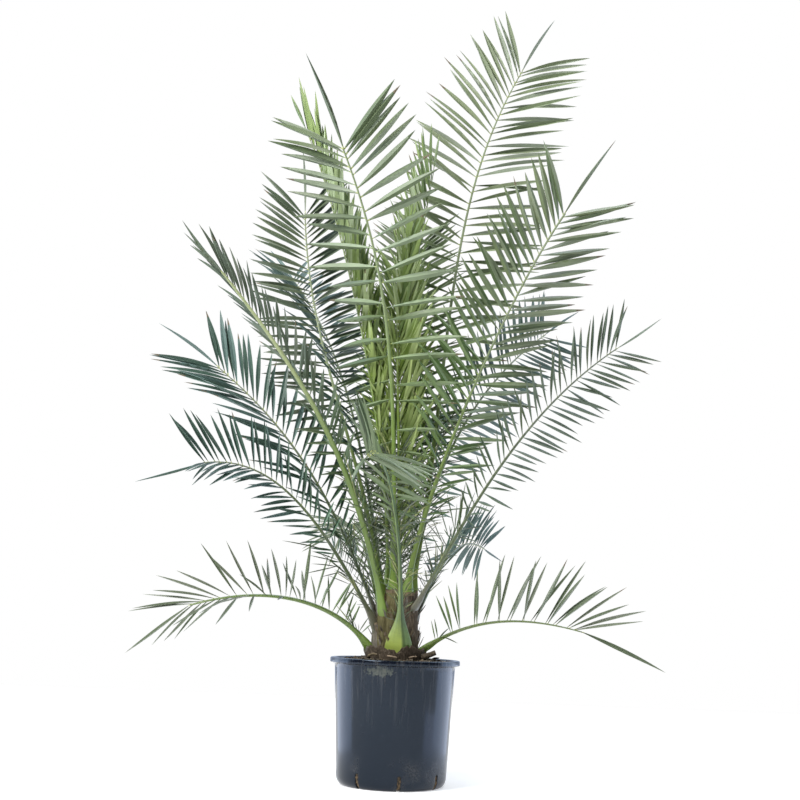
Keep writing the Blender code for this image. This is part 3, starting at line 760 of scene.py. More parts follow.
def turn_profile(name, profile, segments):
    """A closed turned solid: a filled disc, extruded and scaled from ring to ring."""
    bpy.ops.object.select_all(action="DESELECT")
    radius, height = profile[0]
    bpy.ops.mesh.primitive_circle_add(vertices=segments, radius=radius, fill_type="NGON",
                                      location=(0, 0, height))
    made = bpy.context.object
    made.name = made.data.name = name
    bpy.ops.object.transform_apply(location=True)
    bpy.ops.object.mode_set(mode="EDIT")
    bpy.ops.mesh.select_all(action="SELECT")
    for next_radius, next_height in profile[1:]:
        rise = {"value": (0, 0, next_height - height)}
        bpy.ops.mesh.extrude_region_move(TRANSFORM_OT_translate=rise)
        grow = next_radius / radius
        bpy.ops.transform.resize(value=(grow, grow, 1), center_override=(0, 0, next_height))
        radius, height = next_radius, next_height
    bpy.ops.mesh.select_all(action="SELECT")
    bpy.ops.mesh.normals_make_consistent(inside=False)
    bpy.ops.object.mode_set(mode="OBJECT")
    return made


def pick(piece):
    """Select this piece alone."""
    bpy.ops.object.select_all(action="DESELECT")
    piece.select_set(True)
    bpy.context.view_layer.objects.active = piece


def smooth(piece, angle):
    pick(piece)
    bpy.ops.object.shade_smooth_by_angle(angle=radians(angle))


def arc(centre, radius, start, end, count):
    """Points on an arc in the (radius, height) plane, with angles in degrees."""
    return [
        (centre[0] + radius * cos(radians(angle)), centre[1] + radius * sin(radians(angle)))
        for angle in np.linspace(start, end, count)
    ]


def heel(inset, count=9):
    """The rounded edge between the pot's side and its base, from the bottom up."""
    reach = HIP_RADIUS - HEEL_RADIUS
    return [
        (HEEL_RADIUS - inset + reach * cos(angle), HEEL_HEIGHT * (1 - sin(angle)) + inset)
        for angle in np.linspace(pi / 2, 0, count)
    ]


def wall_radius(height):
    """The pot's outer radius between the heel and the neck."""
    share = (height - HEEL_HEIGHT) / (POT_HEIGHT - LIP_DEPTH - WALL - HEEL_HEIGHT)
    return HIP_RADIUS + (NECK_RADIUS - HIP_RADIUS) * share


def heel_radius(height):
    """The pot's outer radius at a height, through the rounded heel."""
    if height > HEEL_HEIGHT:
        return wall_radius(height)
    rise = max(0.0, min(1.0, 1 - height / HEEL_HEIGHT))
    return HEEL_RADIUS + (HIP_RADIUS - HEEL_RADIUS) * (1 - rise * rise) ** 0.5


def make_pot(finish):
    base = [(radius, 0.0) for radius in BASE_RADII]
    side = [(wall_radius(height), height) for height in np.linspace(*SIDE_HEIGHTS, 9)]
    neck = POT_HEIGHT - LIP_DEPTH - WALL
    lip = [(NECK_RADIUS, neck - 0.002), (NECK_RADIUS + 0.0012, neck),
           (LIP_UNDERSIDE, neck + 0.0022)]
    lip += arc((RIM_RADIUS - LIP_EDGE, POT_HEIGHT - LIP_DEPTH + LIP_EDGE), LIP_EDGE, -70, 0, 4)
    lip += arc((RIM_RADIUS - LIP_ROUND, POT_HEIGHT - LIP_ROUND), LIP_ROUND, 0, 90, 7)
    inner = NECK_RADIUS - WALL
    lip += arc((inner + LIP_ROUND, POT_HEIGHT - LIP_ROUND), LIP_ROUND, 90, 180, 6)
    inside = [(wall_radius(height) - WALL, height) for height in (0.30, 0.16, SIDE_HEIGHTS[0])]
    floor = list(reversed(heel(WALL, 5))) + [(0.080, WALL), (0.020, WALL)]
    profile = base + heel(0) + side + lip + inside + floor
    pot = turn_profile("pot_body", profile, POT_SEGMENTS)
    for cutter in [make_slot_cutter(turn) for turn in slot_turns()]:
        cut_out(pot, cutter)
    edge = pot.modifiers.new("slot edges", "BEVEL")
    edge.width = SLOT_BEVEL
    edge.segments = 2
    edge.limit_method = "ANGLE"
    edge.angle_limit = radians(55)
    apply_modifier(pot, edge)
    pot.data.materials.append(finish)
    smooth(pot, 42)
    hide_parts("pot")
    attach(pot, "root")


def slot_turns():
    """Where the drainage slots stand round the pot."""
    return [FIRST_SLOT + index * 2 * pi / SLOTS for index in range(SLOTS)]


def make_slot_cutter(turn):
    """A round-topped drainage slot that wraps the heel and runs a little way under it."""
    inner = HEEL_RADIUS - SLOT_REACH_IN
    outer = HIP_RADIUS + 0.02
    bpy.ops.object.select_all(action="DESELECT")
    bpy.ops.mesh.primitive_cylinder_add(vertices=24, radius=SLOT_WIDTH / 2,
                                        depth=outer - inner, rotation=(0, pi / 2, 0))
    cutter = bpy.context.object
    bpy.ops.object.transform_apply(rotation=True)
    for vert in cutter.data.vertices:
        if vert.co.z < -0.0001:
            vert.co.z = -SLOT_TOP
    place = Matrix.Translation(((inner + outer) / 2, 0, SLOT_TOP - SLOT_WIDTH / 2))
    cutter.data.transform(Matrix.Rotation(turn, 4, "Z") @ place)
    return cutter


def apply_modifier(piece, modifier):
    pick(piece)
    bpy.ops.object.modifier_apply(modifier=modifier.name)


def cut_out(piece, cutter):
    cut = piece.modifiers.new("cut", "BOOLEAN")
    cut.operation = "DIFFERENCE"
    cut.solver = "EXACT"
    cut.object = cutter
    apply_modifier(piece, cut)
    bpy.data.objects.remove(cutter, do_unlink=True)


# The soil and what lies on it


def soil_height(x, y):
    """The soil's surface: heaped round the trunk, lower at the wall, and lumpy."""
    out = (x * x + y * y) ** 0.5
    level = np.interp(out, SOIL_DISTANCES, SOIL_LEVELS)
    place = Vector((x, y, 0))
    lumps = sum(rise * noise.noise(place * rate) for rise, rate in SOIL_LUMPS)
    return level + lumps * min(1, max(0, (out - 0.055) / 0.02))


def make_soil(finish):
    edge = wall_radius(SOIL_EDGE) - WALL - SOIL_GAP
    base = [(0.03, WALL + SOIL_GAP)] + heel(WALL + SOIL_GAP, 5)
    side = [(wall_radius(height) - WALL - SOIL_GAP, height) for height in (0.10, 0.20, 0.31)]
    top = [(radius, SOIL_EDGE) for radius in np.arange(edge, 0.05, -SOIL_RING)]
    soil = turn_profile("soil_surface", base + side + top, SOIL_SEGMENTS)
    for vert in soil.data.vertices:
        if vert.co.z > SOIL_EDGE - 0.002:
            vert.co.z = soil_height(vert.co.x, vert.co.y)
    soil.data.materials.append(finish)
    smooth(soil, 60)
    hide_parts("soil")
    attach(soil, "root")


def lump_shape():
    """A rough crumb: a small faceted ball, knocked out of round."""
    bpy.ops.object.select_all(action="DESELECT")
    bpy.ops.mesh.primitive_ico_sphere_add(subdivisions=1, radius=1)
    ball = bpy.context.object
    points = np.array([vert.co for vert in ball.data.vertices])
    faces = [tuple(face.vertices) for face in ball.data.polygons]
    bpy.data.objects.remove(ball, do_unlink=True)
    return points, faces


def make_crumbs(materials):
    rng = Random("crumbs")
    ball, faces = lump_shape()
    sheaf = Sheaf()
    near, far = CRUMB_REACH
    edge = wall_radius(SOIL_EDGE) - far
    for _ in range(CRUMBS):
        out = rng.uniform(near**2, edge**2) ** 0.5
        turn = rng.uniform(0, 2 * pi)
        size = np.interp(rng.random() ** 2.5, (0, 1), CRUMB_SIZES)
        x, y = out * cos(turn), out * sin(turn)
        spin = np.array(Matrix.Rotation(rng.uniform(0, 2 * pi), 3, Vector(
            (rng.uniform(-1, 1), rng.uniform(-1, 1), rng.uniform(0.1, 1)))))
        stretch = np.array([rng.uniform(*CRUMB_STRETCH) for _ in range(3)])
        knocks = np.array([[rng.uniform(*CRUMB_KNOCKS)] for _ in ball])
        points = (ball * knocks * stretch) @ spin.T * size
        points += (x, y, soil_height(x, y) + size * 0.3)
        skin = rng.choices((0, 1, 2), (0.55, 0.35, 0.10))[0]
        sheaf.add(points, faces, [skin] * len(faces), [(0, 0)] * len(points))
    crumbs = sheaf.build("soil_crumbs", materials, radians(10))
    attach(crumbs, "root")


def make_slot_roots(material):
    """Fine roots that have grown to the drainage slots and show in them."""
    rng = Random("slot roots")
    sheaf = Sheaf()
    for turn in slot_turns():
        outward, across = directions(turn)
        for _ in range(ROOTS_PER_SLOT):
            height = rng.uniform(0.006, SLOT_TOP - 0.004)
            side = rng.uniform(-0.4, 0.4) * SLOT_WIDTH
            line = []
            for step in range(ROOT_STEPS + 1):
                drop = step / ROOT_STEPS
                reach = heel_radius(height) - WALL * 0.9 + 0.0012 * sin(pi * drop)
                line.append(outward * reach + across * side + (0, 0, height))
                side = min(max(side + rng.uniform(-0.002, 0.002), -0.0042), 0.0042)
                height = min(max(height + rng.uniform(-0.006, 0.004), 0.003), SLOT_TOP - 0.002)
            sheaf.add(*tube(strand(line, rng.uniform(*ROOT_THICK), 4, 0.6)))
    roots = sheaf.build("slot_roots", [material])
    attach(roots, "root")


def make_litter(materials):
    """Dead scraps of leaf and root on the soil round the trunk's foot."""
    rng = Random("litter")
    sheaf = Sheaf()
    for _ in range(SCRAPS):
        turn = rng.uniform(0, 2 * pi)
        out = rng.uniform(0.068, 0.13)
        heading = rng.uniform(0, 2 * pi)
        length = rng.uniform(*SCRAP_LENGTH)
        bend = rng.uniform(-1.2, 1.2)
        x, y = out * cos(turn), out * sin(turn)
        line = []
        for step in range(SCRAP_STEPS + 1):
            lift = 0.0012 + 0.003 * sin(pi * step / SCRAP_STEPS) * rng.random()
            line.append((x, y, soil_height(x, y) + lift))
            x += length / SCRAP_STEPS * cos(heading)
            y += length / SCRAP_STEPS * sin(heading)
            heading += bend / SCRAP_STEPS
        kept = [point for point in line if np.hypot(point[0], point[1]) < SCRAP_REACH]
        if len(kept) > 3:
            thick = rng.uniform(*SCRAP_THICK)
            skin = rng.choices((0, 1, 2), (0.4, 0.3, 0.3))[0]
            sheaf.add(*tube(strand(kept, thick, 5, 0.4), skin=skin))
    litter = sheaf.build("soil_litter", materials)
    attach(litter, "root")


# The trunk


def trunk_radius(height):
    return float(np.interp(height, TRUNK_HEIGHTS, TRUNK_RADII))


def make_trunk(finish):
    """The trunk, with the low relief of old leaf bases in spirals and of its fibre."""
    heights = np.linspace(TRUNK_HEIGHTS[0], TRUNK_HEIGHTS[-1], TRUNK_RINGS)
    profile = [(trunk_radius(height), height) for height in heights]
    trunk = turn_profile("trunk_bark", profile, TRUNK_SEGMENTS)
    foot = TRUNK_HEIGHTS[0]
    for vert in trunk.data.vertices:
        turn = atan2(vert.co.y, vert.co.x)
        up = vert.co.z - foot
        climb = up * SPIRAL_CLIMB
        spiral = sin(SPIRALS[0] * turn + climb) * sin(SPIRALS[1] * turn - climb)
        place = Vector((vert.co.x * 40, vert.co.y * 40, vert.co.z * 9))
        fibre = noise.noise(place * 3.2) + 0.6 * noise.noise(place * 9)
        level = Vector((vert.co.x, vert.co.y, 0))
        if level.length > 0.001 and up > 0.001:
            vert.co += level.normalized() * (TRUNK_RELIEF * (spiral + fibre))
    trunk.data.materials.append(finish)
    smooth(trunk, 50)
    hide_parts("trunk")
    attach(trunk, "root")


def make_fibres(materials):
    """Loose fibre that wraps the trunk, each strand lifting a little off it."""
    rng = Random("fibres")
    sheaf = Sheaf()
    low, high = TRUNK_HEIGHTS[0] + 0.003, TRUNK_HEIGHTS[-1] - 0.02
    for _ in range(FIBRES):
        height = rng.uniform(low, high)
        turn = rng.uniform(0, 2 * pi)
        climb = rng.choice((-1, 1)) * rng.uniform(0.3, 1.3)
        length = rng.uniform(*FIBRE_LENGTH)
        loose = rng.uniform(*FIBRE_LOOSE)
        line = []
        for step in range(FIBRE_STEPS + 1):
            share = step / FIBRE_STEPS
            out = trunk_radius(height) + 0.001 + loose * share * share
            line.append(spot(out, turn, height))
            turn += length / FIBRE_STEPS * cos(climb) / out
            height = min(max(height + length / FIBRE_STEPS * sin(climb), low), high + 0.02)
        skin = rng.choices((0, 1), (0.7, 0.3))[0]
        sheaf.add(*tube(strand(line, rng.uniform(*FIBRE_THICK), 3, 0.4), skin=skin))
    fibres = sheaf.build("trunk_fibres", materials)
    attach(fibres, "root")


def make_stub(index, finish):
    """The cut stub of an old frond: a flat tapering base with a torn end."""
    low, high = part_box(f"stub_{index}")
    middle = (low + high) / 2
    outward, across = directions(atan2(middle.y, middle.x))
    foot = outward * (trunk_radius(low.z) - 0.006) + (0, 0, low.z - 0.004)
    tip = outward * (middle.xy.length + 0.006) + (0, 0, high.z - 0.001)
    along = unit(tip - foot)
    above = np.cross(across, along)
    rng = Random(f"stub {index}")
    rings = []
    for row in range(STUB_ROWS + 1):
        share = row / STUB_ROWS
        half = STUB_WIDTHS[0] + STUB_WIDTHS[1] * (1 - share) ** 0.7
        deep = STUB_DEPTHS[0] + STUB_DEPTHS[1] * (1 - share)
        centre = foot + (tip - foot) * share
        ring = []
        for side in range(STUB_SIDES):
            angle = 2 * pi * side / STUB_SIDES
            rough = 1 + 0.10 * noise.noise(Vector((angle * 2, row * 0.7, index * 3.1)))
            torn = along * (STUB_TEAR * rng.uniform(-1, 1) if row == STUB_ROWS else 0)
            ring.append(centre + across * half * cos(angle) * rough
                        - above * deep * sin(angle) * rough + torn)
        rings.append(ring)
    sheaf = Sheaf()
    sheaf.add(*tube(rings))
    stub = sheaf.build(f"old_base_{index}", [finish])
    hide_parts(f"stub_{index}")
    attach(stub, "root")


# The fronds


class Rib:
    """The middle line of a frond's rib, with its directions, read by share of its length."""

    def __init__(self, frond):
        self.frond = frond
        outward, _ = directions(radians(frond.turn))
        foot = outward * np.interp(frond.height, FOOT_HEIGHTS, FOOT_DISTANCES)
        foot[2] = frond.height
        tip = np.array(frond.tip)
        self.level = unit((tip - foot) * (1, 1, 0))
        reach = np.linalg.norm(tip - foot)
        start = foot + sloped(outward, frond.launch) * reach * frond.hold[0]
        end = tip - sloped(self.level, frond.arrive) * reach * frond.hold[1]
        curve = np.array(interpolate_bezier(foot, start, end, tip, RIB_CURVE_POINTS))
        steps = np.linalg.norm(np.diff(curve, axis=0), axis=1)
        along = np.concatenate(([0], np.cumsum(steps)))
        self.length = along[-1]
        self.stations = np.linspace(0, 1, RIB_STATIONS + 1)
        self.line = [np.interp(self.stations * self.length, along, part) for part in curve.T]

    def point(self, share):
        return np.array([np.interp(share, self.stations, part) for part in self.line])

    def frame(self, share):
        """The directions along the rib, across it and out of its upper face."""
        step = 0.5 / RIB_STATIONS
        along = unit(self.point(min(share + step, 1)) - self.point(max(share - step, 0)))
        across = np.array((self.level[1], -self.level[0], 0))
        across = unit(across - along * (across @ along))
        above = np.cross(across, along)
        roll = radians(np.interp(share, (0, 1), self.frond.roll))
        return (
            along,
            across * cos(roll) + above * sin(roll),
            above * cos(roll) - across * sin(roll),
        )

    def flare(self, share):
        """1 at the rib's foot, falling to 0 where it is a plain stalk."""
        reach = FOOT_FLARE_LENGTH * self.frond.foot / RIB_FOOT
        return exp(-((share * self.length / reach) ** 2))

    def half_width(self, share):
        """Half the rib's width: a slow taper, and a flare where it clasps the trunk."""
        plain = RIB_TIP + RIB_SWELL * (1 - share) ** self.frond.taper
        plain *= self.frond.stout
        return plain + (self.frond.foot * 1.12 - plain) * self.flare(share)


def rib_ring(rib, share, centre=None, scale=1.0):
    """A section of the rib: nearly flat above, with a rounded keel below."""
    _, across, above = rib.frame(share)
    half = rib.half_width(share) * scale
    deep = min(half, RIB_DEPTH * rib.frond.stout + 0.12 * half) * 0.95
    keel = rib.frond.keel
    ridge = rib.flare(share) if keel else 0
    deep += 0.30 * ridge * max(half - 0.010, 0)
    centre = rib.point(share) if centre is None else centre
    ring = []
    for side in range(RIB_SIDES):
        angle = -2 * pi * side / RIB_SIDES
        place, up = cos(angle), sin(angle)
        rise = RIB_CROWN * up**0.8 if up > 0 else -abs(up) ** 1.25
        if up < 0:
            off = abs(place - keel) / (1 + keel if place < keel else 1 - keel)
            rise = rise * (1 - ridge) - (1 - off) * ridge
        ring.append(centre + across * half * place + above * deep * rise)
    return ring


def make_rib(rib, material):
    frond = rib.frond
    foot = rib.point(0)
    low = frond.height < SHEATH_LOWEST
    sunk = foot * ((0.92, 0.92, 1) if low else (0.72, 0.72, 1))
    sunk = sunk - (0, 0, RIB_SINK + (0.012 if low else 0))
    rings = [rib_ring(rib, 0, sunk, 0.97 if low else 0.8),
             rib_ring(rib, 0, (foot + sunk) / 2 + (foot - sunk) * 0.12, 0.99)]
    rings += [rib_ring(rib, share) for share in rib.stations]
    points, faces, worn, _ = tube(rings)
    lengths = [-0.02, -0.01, *(rib.stations * rib.length)]
    uvs = [(side / RIB_SIDES, length) for length in lengths for side in range(RIB_SIDES)]
    sheaf = Sheaf()
    sheaf.add(points, faces, worn, uvs)
    made = sheaf.build(f"rib_{frond.name}", [material], radians(60))
    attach(made, "root")


def leaflet_places(rib):
    """Where each leaflet starts, as its share of the rib, its angles, side and length."""
    frond = rib.frond
    rng = Random(frond.name)
    count = round(rib.length * (1 - frond.bare) / frond.spacing)
    for index in range(count):
        for side, ahead in ((-1, 0.25), (1, 0.5)):
            nudge = PAIRING if index % 2 else -PAIRING
            even = (index + ahead + nudge + rng.uniform(-0.1, 0.1)) / count
            out = 1 - (1 - min(max(even, 0), 0.995)) ** frond.crowd
            share = frond.bare + (1 - frond.bare) * out
            stray = np.interp(out, (0, 1), STRAY) * frond.stray
            opening = frond.open[1] + (frond.open[0] - frond.open[1]) * (1 - out**3)
            opening += rng.uniform(-0.4, 0.4) * stray + PAIR_SPREAD * nudge
            lift = np.interp(out, (0, 1), frond.lift) + rng.uniform(-1, 1) * stray
            size = np.interp(out, LEAFLET_SHARES, LEAFLET_SIZES) * rng.uniform(0.88, 1.02)
            yield share, opening, lift, side, frond.droop * out, frond.leaflet * size
    end_size = YOUNG_END_LEAFLET if frond.young else END_LEAFLET
    yield 1.0, 0, 0, 1, frond.droop, frond.leaflet * end_size


def leaflet_direction(rib, share, opening, lift, side, droop):
    along, across, above = rib.frame(share)
    outward = cos(radians(lift)) * side * across + sin(radians(lift)) * above
    direction = cos(radians(opening)) * along + sin(radians(opening)) * outward
    return unit(direction - (0, 0, droop))


def add_blade(sheaf, rng, root, heading, rib_along, above, length, width, fold, skins):
    """A leaflet: folded up along its middle, keeled below, drawn to a needle point.

    Its skins are those of its four sides, its base and its tip.
    """
    sag = rng.uniform(0, BLADE_SAG)
    sway = rng.uniform(-BLADE_SWAY, BLADE_SWAY)
    twist = rng.uniform(-BLADE_TWIST, BLADE_TWIST)
    across = unit(rib_along - heading * (rib_along @ heading))
    if np.cross(heading, across) @ above < 0:
        across = -across
    points = []
    for station, size in zip(BLADE_STATIONS[:-1], BLADE_WIDTHS[:-1]):
        bend = length * station * station
        centre = root + heading * length * station + across * sway * bend
        centre = centre - (0, 0, sag * bend)
        along = unit(heading + 2 * station * (across * sway - (0, 0, sag)))
        level = unit(across - along * (across @ along))
        face = np.cross(along, level)
        turn = twist * station
        level, face = level * cos(turn) + face * sin(turn), face * cos(turn) - level * sin(turn)
        half = width / 2 * size
        gape = fold * (1.45 - 0.8 * station)
        reach, rise = half * cos(gape), half * sin(gape)
        thick = BLADE_THICK * (0.35 + 0.65 * size)
        points += [centre - level * reach + face * rise, centre - face * thick,
                   centre + level * reach + face * rise, centre + face * 0.0001]
    points.append(root + heading * length + across * sway * length - (0, 0, sag * length))
    sheaf.add(points, *blade_faces(skins, length))


def blade_faces(skins, length):
    """Faces of a blade of four points a row: left edge, keel, right edge and fold."""
    *sides, base, tip = skins
    faces = [(3, 2, 1, 0)]
    worn = [base]
    rows = len(BLADE_STATIONS) - 1
    for row in range(rows - 1):
        low = row * 4
        for side in range(4):
            after = (side + 1) % 4
            faces.append((low + side, low + after, low + 4 + after, low + 4 + side))
            worn.append(base if row < 1 else tip if row > rows - 3 else sides[side])
    low = (rows - 1) * 4
    for side in range(4):
        faces.append((low + side, low + (side + 1) % 4, low + 4))
        worn.append(tip)
    uvs = [(place, station * length * 5) for station in BLADE_STATIONS[:-1]
           for place in (0.0, 0.5, 1.0, 0.5)]
    uvs.append((0.5, length * 5))
    return faces, worn, uvs


def sheath_ring(index, turn, share, height, inner, outer):
    """A section of a sheath: its rough curved back, and its face towards the trunk."""
    half = 0.036 - 0.014 * share
    ring = []
    for step in range(SHEATH_BACK_STEPS + 1):
        place = 2 * step / SHEATH_BACK_STEPS - 1
        grain = noise.noise(Vector((place * 7, height * 14, index * 5.3)))
        crest = noise.noise(Vector((place * 19, height * 9, index * 3.1)))
        out = inner + (outer - inner) * (1 - abs(place) ** 3) ** 0.7
        out += (0.0022 * grain + 0.0011 * crest) * (1 - place**4)
        torn = (0.004 * grain + 0.003 * crest) * (share > 0.97)
        ring.append(spot(out, turn + place * half * (1 + 0.10 * grain) / outer, height + torn))
    for step in range(SHEATH_FACE_POINTS):
        ring.append(spot(inner, turn + (0.8 - 0.4 * step) * half / outer, height))
    return ring


def make_sheaths(ribs, materials):
    """The sheaths of the upper fronds, which wrap the trunk from their feet to the soil."""
    sheaf = Sheaf()
    for index, rib in enumerate(ribs):
        frond = rib.frond
        if frond.height < SHEATH_LOWEST or frond.foot < RIB_FOOT:
            continue
        foot = rib.point(0)
        turn = atan2(foot[1], foot[0])
        bottom = TRUNK_RADII[0] + SHEATH_FOOT_THICK + (0.53 - frond.height) * 0.06
        top = np.hypot(foot[0], foot[1]) + SHEATH_TOP_THICK
        skin = 1 if cos(turn) > 0.2 else 2 if cos(turn) < -0.85 else 0
        rings = []
        for row in range(SHEATH_ROWS + 1):
            share = row / SHEATH_ROWS
            height = SHEATH_FOOT + (frond.height + 0.020 - SHEATH_FOOT) * share
            outer = bottom + (top - bottom) * share
            if row == SHEATH_ROWS - 1:
                outer += SHEATH_CREST
            inner = trunk_radius(height) - 0.004
            inner += (top - 0.006 - inner) * share**3
            rings.append(sheath_ring(index, turn, share, height, inner, outer))
        sheaf.add(*tube(rings, skins=[skin] * (SHEATH_ROWS - 1) + [3]))
    made = sheaf.build("leaf_sheaths", materials, radians(50))
    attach(made, "root")


def add_husk(sheaf, rng, turn, span, rise, out, skin):
    """A low curved flake of the outermost sheaths, torn along its top."""
    steps = max(6, span // 4)
    rings = []
    for step in range(steps + 1):
        share = step / steps
        around = radians(turn + (share - 0.5) * span)
        torn = noise.noise(Vector((share * 5, turn, 0))) * 0.5 + rng.uniform(-0.12, 0.12)
        body = sin(pi * min(max(share, 0.06), 0.94)) ** 0.5
        high = HUSK_LOWEST + rise * body * (1 + torn)
        lean = out + 0.30 * rise * body
        thick = 0.0026 * body + 0.0006
        section = ((out - thick, HUSK_FOOT), (lean - thick, high), (lean, high + 0.0012),
                   (lean + thick, high), (out + 0.004, 0.352), (out + 0.003, HUSK_FOOT))
        rings.append([spot(radius, around, height) for radius, height in section])
    sheaf.add(*tube(rings, skin))


def add_flake(sheaf, rng):
    """A scrap of husk on the soil."""
    outward, across = directions(rng.uniform(0, 2 * pi))
    place = outward * rng.uniform(*FLAKE_REACH)
    size = rng.uniform(*FLAKE_SIZE)
    height = soil_height(place[0], place[1]) + rng.uniform(0.001, 0.003)
    heading = across * rng.choice((-1, 1)) + outward * rng.uniform(-0.5, 0.5)
    heading = unit(heading + (0, 0, rng.uniform(0.0, 0.35)))
    skin = rng.choices((0, 1, 2, 3), (0.2, 0.4, 0.2, 0.2))[0]
    add_blade(sheaf, rng, place + (0, 0, height), heading, outward, np.array((0, 0, 1.0)),
              size, size * rng.uniform(0.2, 0.45), 0.35, (skin,) * 6)


def add_torn_strip(sheaf, rng):
    """A strip of sheath that stands off the trunk."""
    outward, across = directions(rng.uniform(0, 2 * pi))
    height = rng.uniform(*STRIP_HEIGHTS)
    out = np.interp(height, (0.345, 0.40, 0.50), (0.070, 0.068, 0.060)) - 0.004
    lean = rng.uniform(0.10, 0.75)
    heading = unit(outward * lean + across * rng.uniform(-0.3, 0.3) + (0, 0, 1))
    size = rng.uniform(*STRIP_SIZE)
    skin = rng.choices((1, 2, 3), (0.35, 0.35, 0.30))[0]
    add_blade(sheaf, rng, outward * out + (0, 0, height), heading, across, outward,
              size, size * 0.22, 0.25, (skin,) * 6)


def add_lying(sheaf, path, thick, skin):
    """A dead piece of stalk or husk on the soil, with a knobbly skin."""
    rings = strand(path, thick, LYING_SIDES, 0.8)
    for row, ring in enumerate(rings):
        centre = np.mean(ring, axis=0)
        swell = [1 + 0.2 * noise.noise(Vector((side * 0.9, row * 1.3, 0)))
                 for side in range(LYING_SIDES)]
        rings[row] = [centre + (point - centre) * grow for point, grow in zip(ring, swell)]
    sheaf.add(*tube(rings, skin))


def make_husks(materials):
    """Torn remains of the outermost sheaths, round the trunk and on the soil."""
    rng = Random("husks")
    sheaf = Sheaf()
    for husk in HUSKS:
        add_husk(sheaf, rng, *husk)
    for _ in range(FLAKES):
        add_flake(sheaf, rng)
    for _ in range(TORN_STRIPS):
        add_torn_strip(sheaf, rng)
    for piece in LYING:
        add_lying(sheaf, *piece)
    made = sheaf.build("torn_husks", materials, radians(40))
    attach(made, "root")


def make_leaflets(rib, materials):
    """All the leaflets of a frond, in one piece that stands for the frond's nodes."""
    frond = rib.frond
    rng = Random(frond.name + " blades")
    sheaf = Sheaf()
    for share, opening, lift, side, droop, length in leaflet_places(rib):
        along, across, above = rib.frame(share)
        heading = leaflet_direction(rib, share, opening, lift, side, droop)
        half = rib.half_width(share)
        terminal = share == 1
        root = rib.point(share)
        if not terminal:
            root = root + across * side * half * 0.55 + above * half * 0.12
        width = LEAFLET_WIDTH * frond.leaflet * frond.slender * rng.uniform(0.88, 1.08)
        width *= (length / frond.leaflet) ** 0.7
        fold = rng.uniform(*BLADE_FOLD)
        # painted light and shade: each half of the blade takes a lighter or a darker copy of
        # the frond's green
        halves = rng.choices(LIT_AND_SHADED_HALVES, HALF_SHARES)[0]
        if frond.young:
            width *= YOUNG_WIDTH
            fold += YOUNG_FOLD * (1 - share**3)
            if share > OPENED:
                halves = (2, 0, 0, 2)
        tip = 5 if rng.random() < DRY_TIPS else halves[2]
        reference = above if terminal else along
        add_blade(sheaf, rng, root, heading, reference, above, length, width, fold,
                  (*halves, 4, tip))
    made = sheaf.build(f"leaflets_{frond.name}", materials)
    nodes = ["frond_" + frond.name]
    if frond.split:
        nodes.append(nodes[0] + "_end")
    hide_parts(*nodes)
    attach(made, "root")


def make_spines(ribs, materials):
    """The stiff narrow spines between each frond's foot and its first leaflets."""
    rng = Random("spines")
    sheaf = Sheaf()
    for rib in ribs:
        frond = rib.frond
        first = SPINES_FROM / rib.length + 0.03
        last = frond.bare + SPINES_BEYOND
        count = max(2, round((last - first) * rib.length / SPINE_SPACING))
        for index in range(count):
            for side in (-1, 1):
                out = (index + rng.uniform(0.1, 0.9)) / count
                share = first + (last - first) * out
                along, across, above = rib.frame(share)
                length = np.interp(out, (0, 1), SPINE_LENGTH) * rng.uniform(0.6, 1.1)
                width = np.interp(out, (0, 1), SPINE_WIDTH)
                opening, lift = rng.uniform(*SPINE_OPENING), rng.uniform(*SPINE_LIFT)
                heading = leaflet_direction(rib, share, opening, lift, side, 0)
                root = rib.point(share) + across * side * rib.half_width(share) * 0.7
                skin = rng.choices((0, 1, 2), (0.25 * (1.1 - out), 0.55, 0.30))[0]
                add_blade(sheaf, rng, root, heading, along, above, length, width, 0.9,
                          (skin,) * 6)
    made = sheaf.build("petiole_spines", materials)
    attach(made, "root")


# The stage


def make_stage(finish):
    bpy.ops.object.select_all(action="DESELECT")
    bpy.ops.mesh.primitive_plane_add(size=FLOOR_SIZE, location=(0, 0, 0))
    floor = bpy.context.object
    floor.name = "floor"
    floor.data.materials.append(finish)
    make_world()
    for lamp in LAMPS:
        add_lamp(*lamp)


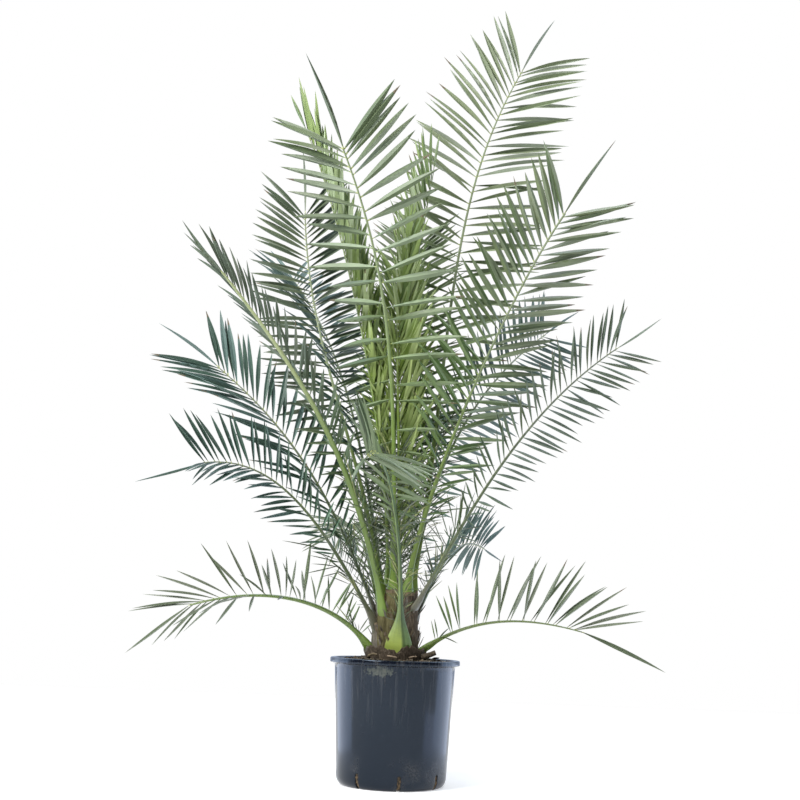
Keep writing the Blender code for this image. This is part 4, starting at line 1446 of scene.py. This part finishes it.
def make_world():
    """White all round: full white to the eye, softer on the plant and in its gloss."""
    world = bpy.data.worlds.new("white_studio")
    bpy.context.scene.world = world
    world.use_nodes = True
    world.node_tree.nodes.clear()
    sky = Wiring(world.node_tree)
    light = sky.node("ShaderNodeBackground", Color=(0.93, 0.97, 1.0, 1), Strength=0.30)
    white = sky.node("ShaderNodeBackground", Color=(1, 1, 1, 1))
    gloss = sky.node("ShaderNodeBackground")
    axes = sky.axes(sky.node("ShaderNodeTexCoord").outputs["Generated"])
    sky.link(sky.ramp(sky.map_range(axes["Y"], -1, 1), GLOSS_BANDS), gloss.inputs["Color"])
    rays = sky.node("ShaderNodeLightPath").outputs
    shown = light.outputs[0]
    for kind, seen in (("Is Glossy Ray", gloss), ("Is Camera Ray", white)):
        blend = sky.node("ShaderNodeMixShader")
        for source, socket in zip((rays[kind], shown, seen.outputs[0]), blend.inputs):
            sky.link(source, socket)
        shown = blend.outputs[0]
    sky.link(shown, sky.node("ShaderNodeOutputWorld").inputs["Surface"])


def add_lamp(name, place, aim, size, power, colour):
    data = bpy.data.lights.new(name, "AREA")
    data.shape = "RECTANGLE"
    data.size, data.size_y = size
    data.energy = power
    data.color = colour
    lamp = bpy.data.objects.new(name, data)
    bpy.context.scene.collection.objects.link(lamp)
    lamp.location = place
    lamp.rotation_euler = (Vector(aim) - Vector(place)).to_track_quat("-Z", "Y").to_euler()
    lamp.visible_camera = not name.startswith("panel")


def make_camera():
    data = bpy.data.cameras.new("camera")
    data.lens = CAMERA_LENS
    camera = bpy.data.objects.new("camera", data)
    bpy.context.scene.collection.objects.link(camera)
    ahead = Vector((0, cos(CAMERA_PITCH), sin(CAMERA_PITCH)))
    level = Vector((1, 0, 0))
    upward = level.cross(ahead)
    right = level * cos(CAMERA_ROLL) + upward * sin(CAMERA_ROLL)
    head = upward * cos(CAMERA_ROLL) - level * sin(CAMERA_ROLL)
    turn = Matrix((right, head, -ahead)).transposed().to_4x4()
    camera.matrix_world = Matrix.Translation(CAMERA_PLACE) @ turn
    bpy.context.scene.camera = camera
    bpy.context.scene.view_settings.view_transform = "Standard"


def main():
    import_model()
    make_camera()
    finishes = make_finishes()
    make_stage(finishes["floor"])
    make_pot(finishes["pot"])
    make_soil(finishes["soil"])
    make_crumbs(finishes["crumbs"])
    make_slot_roots(finishes["root"])
    make_litter([finishes["root"], *finishes["strand"]])
    make_trunk(finishes["trunk"])
    make_fibres(finishes["strand"])
    for index in range(1, STUBS + 1):
        make_stub(index, finishes["stub"])
    ribs = [Rib(frond) for frond in FRONDS]
    for rib in ribs:
        make_rib(rib, finishes[rib.frond.stalk])
        make_leaflets(rib, finishes[rib.frond.tone])
    make_sheaths(ribs, finishes["sheath"])
    make_husks(finishes["sheath"])
    make_spines(ribs, finishes["spine"])


main()
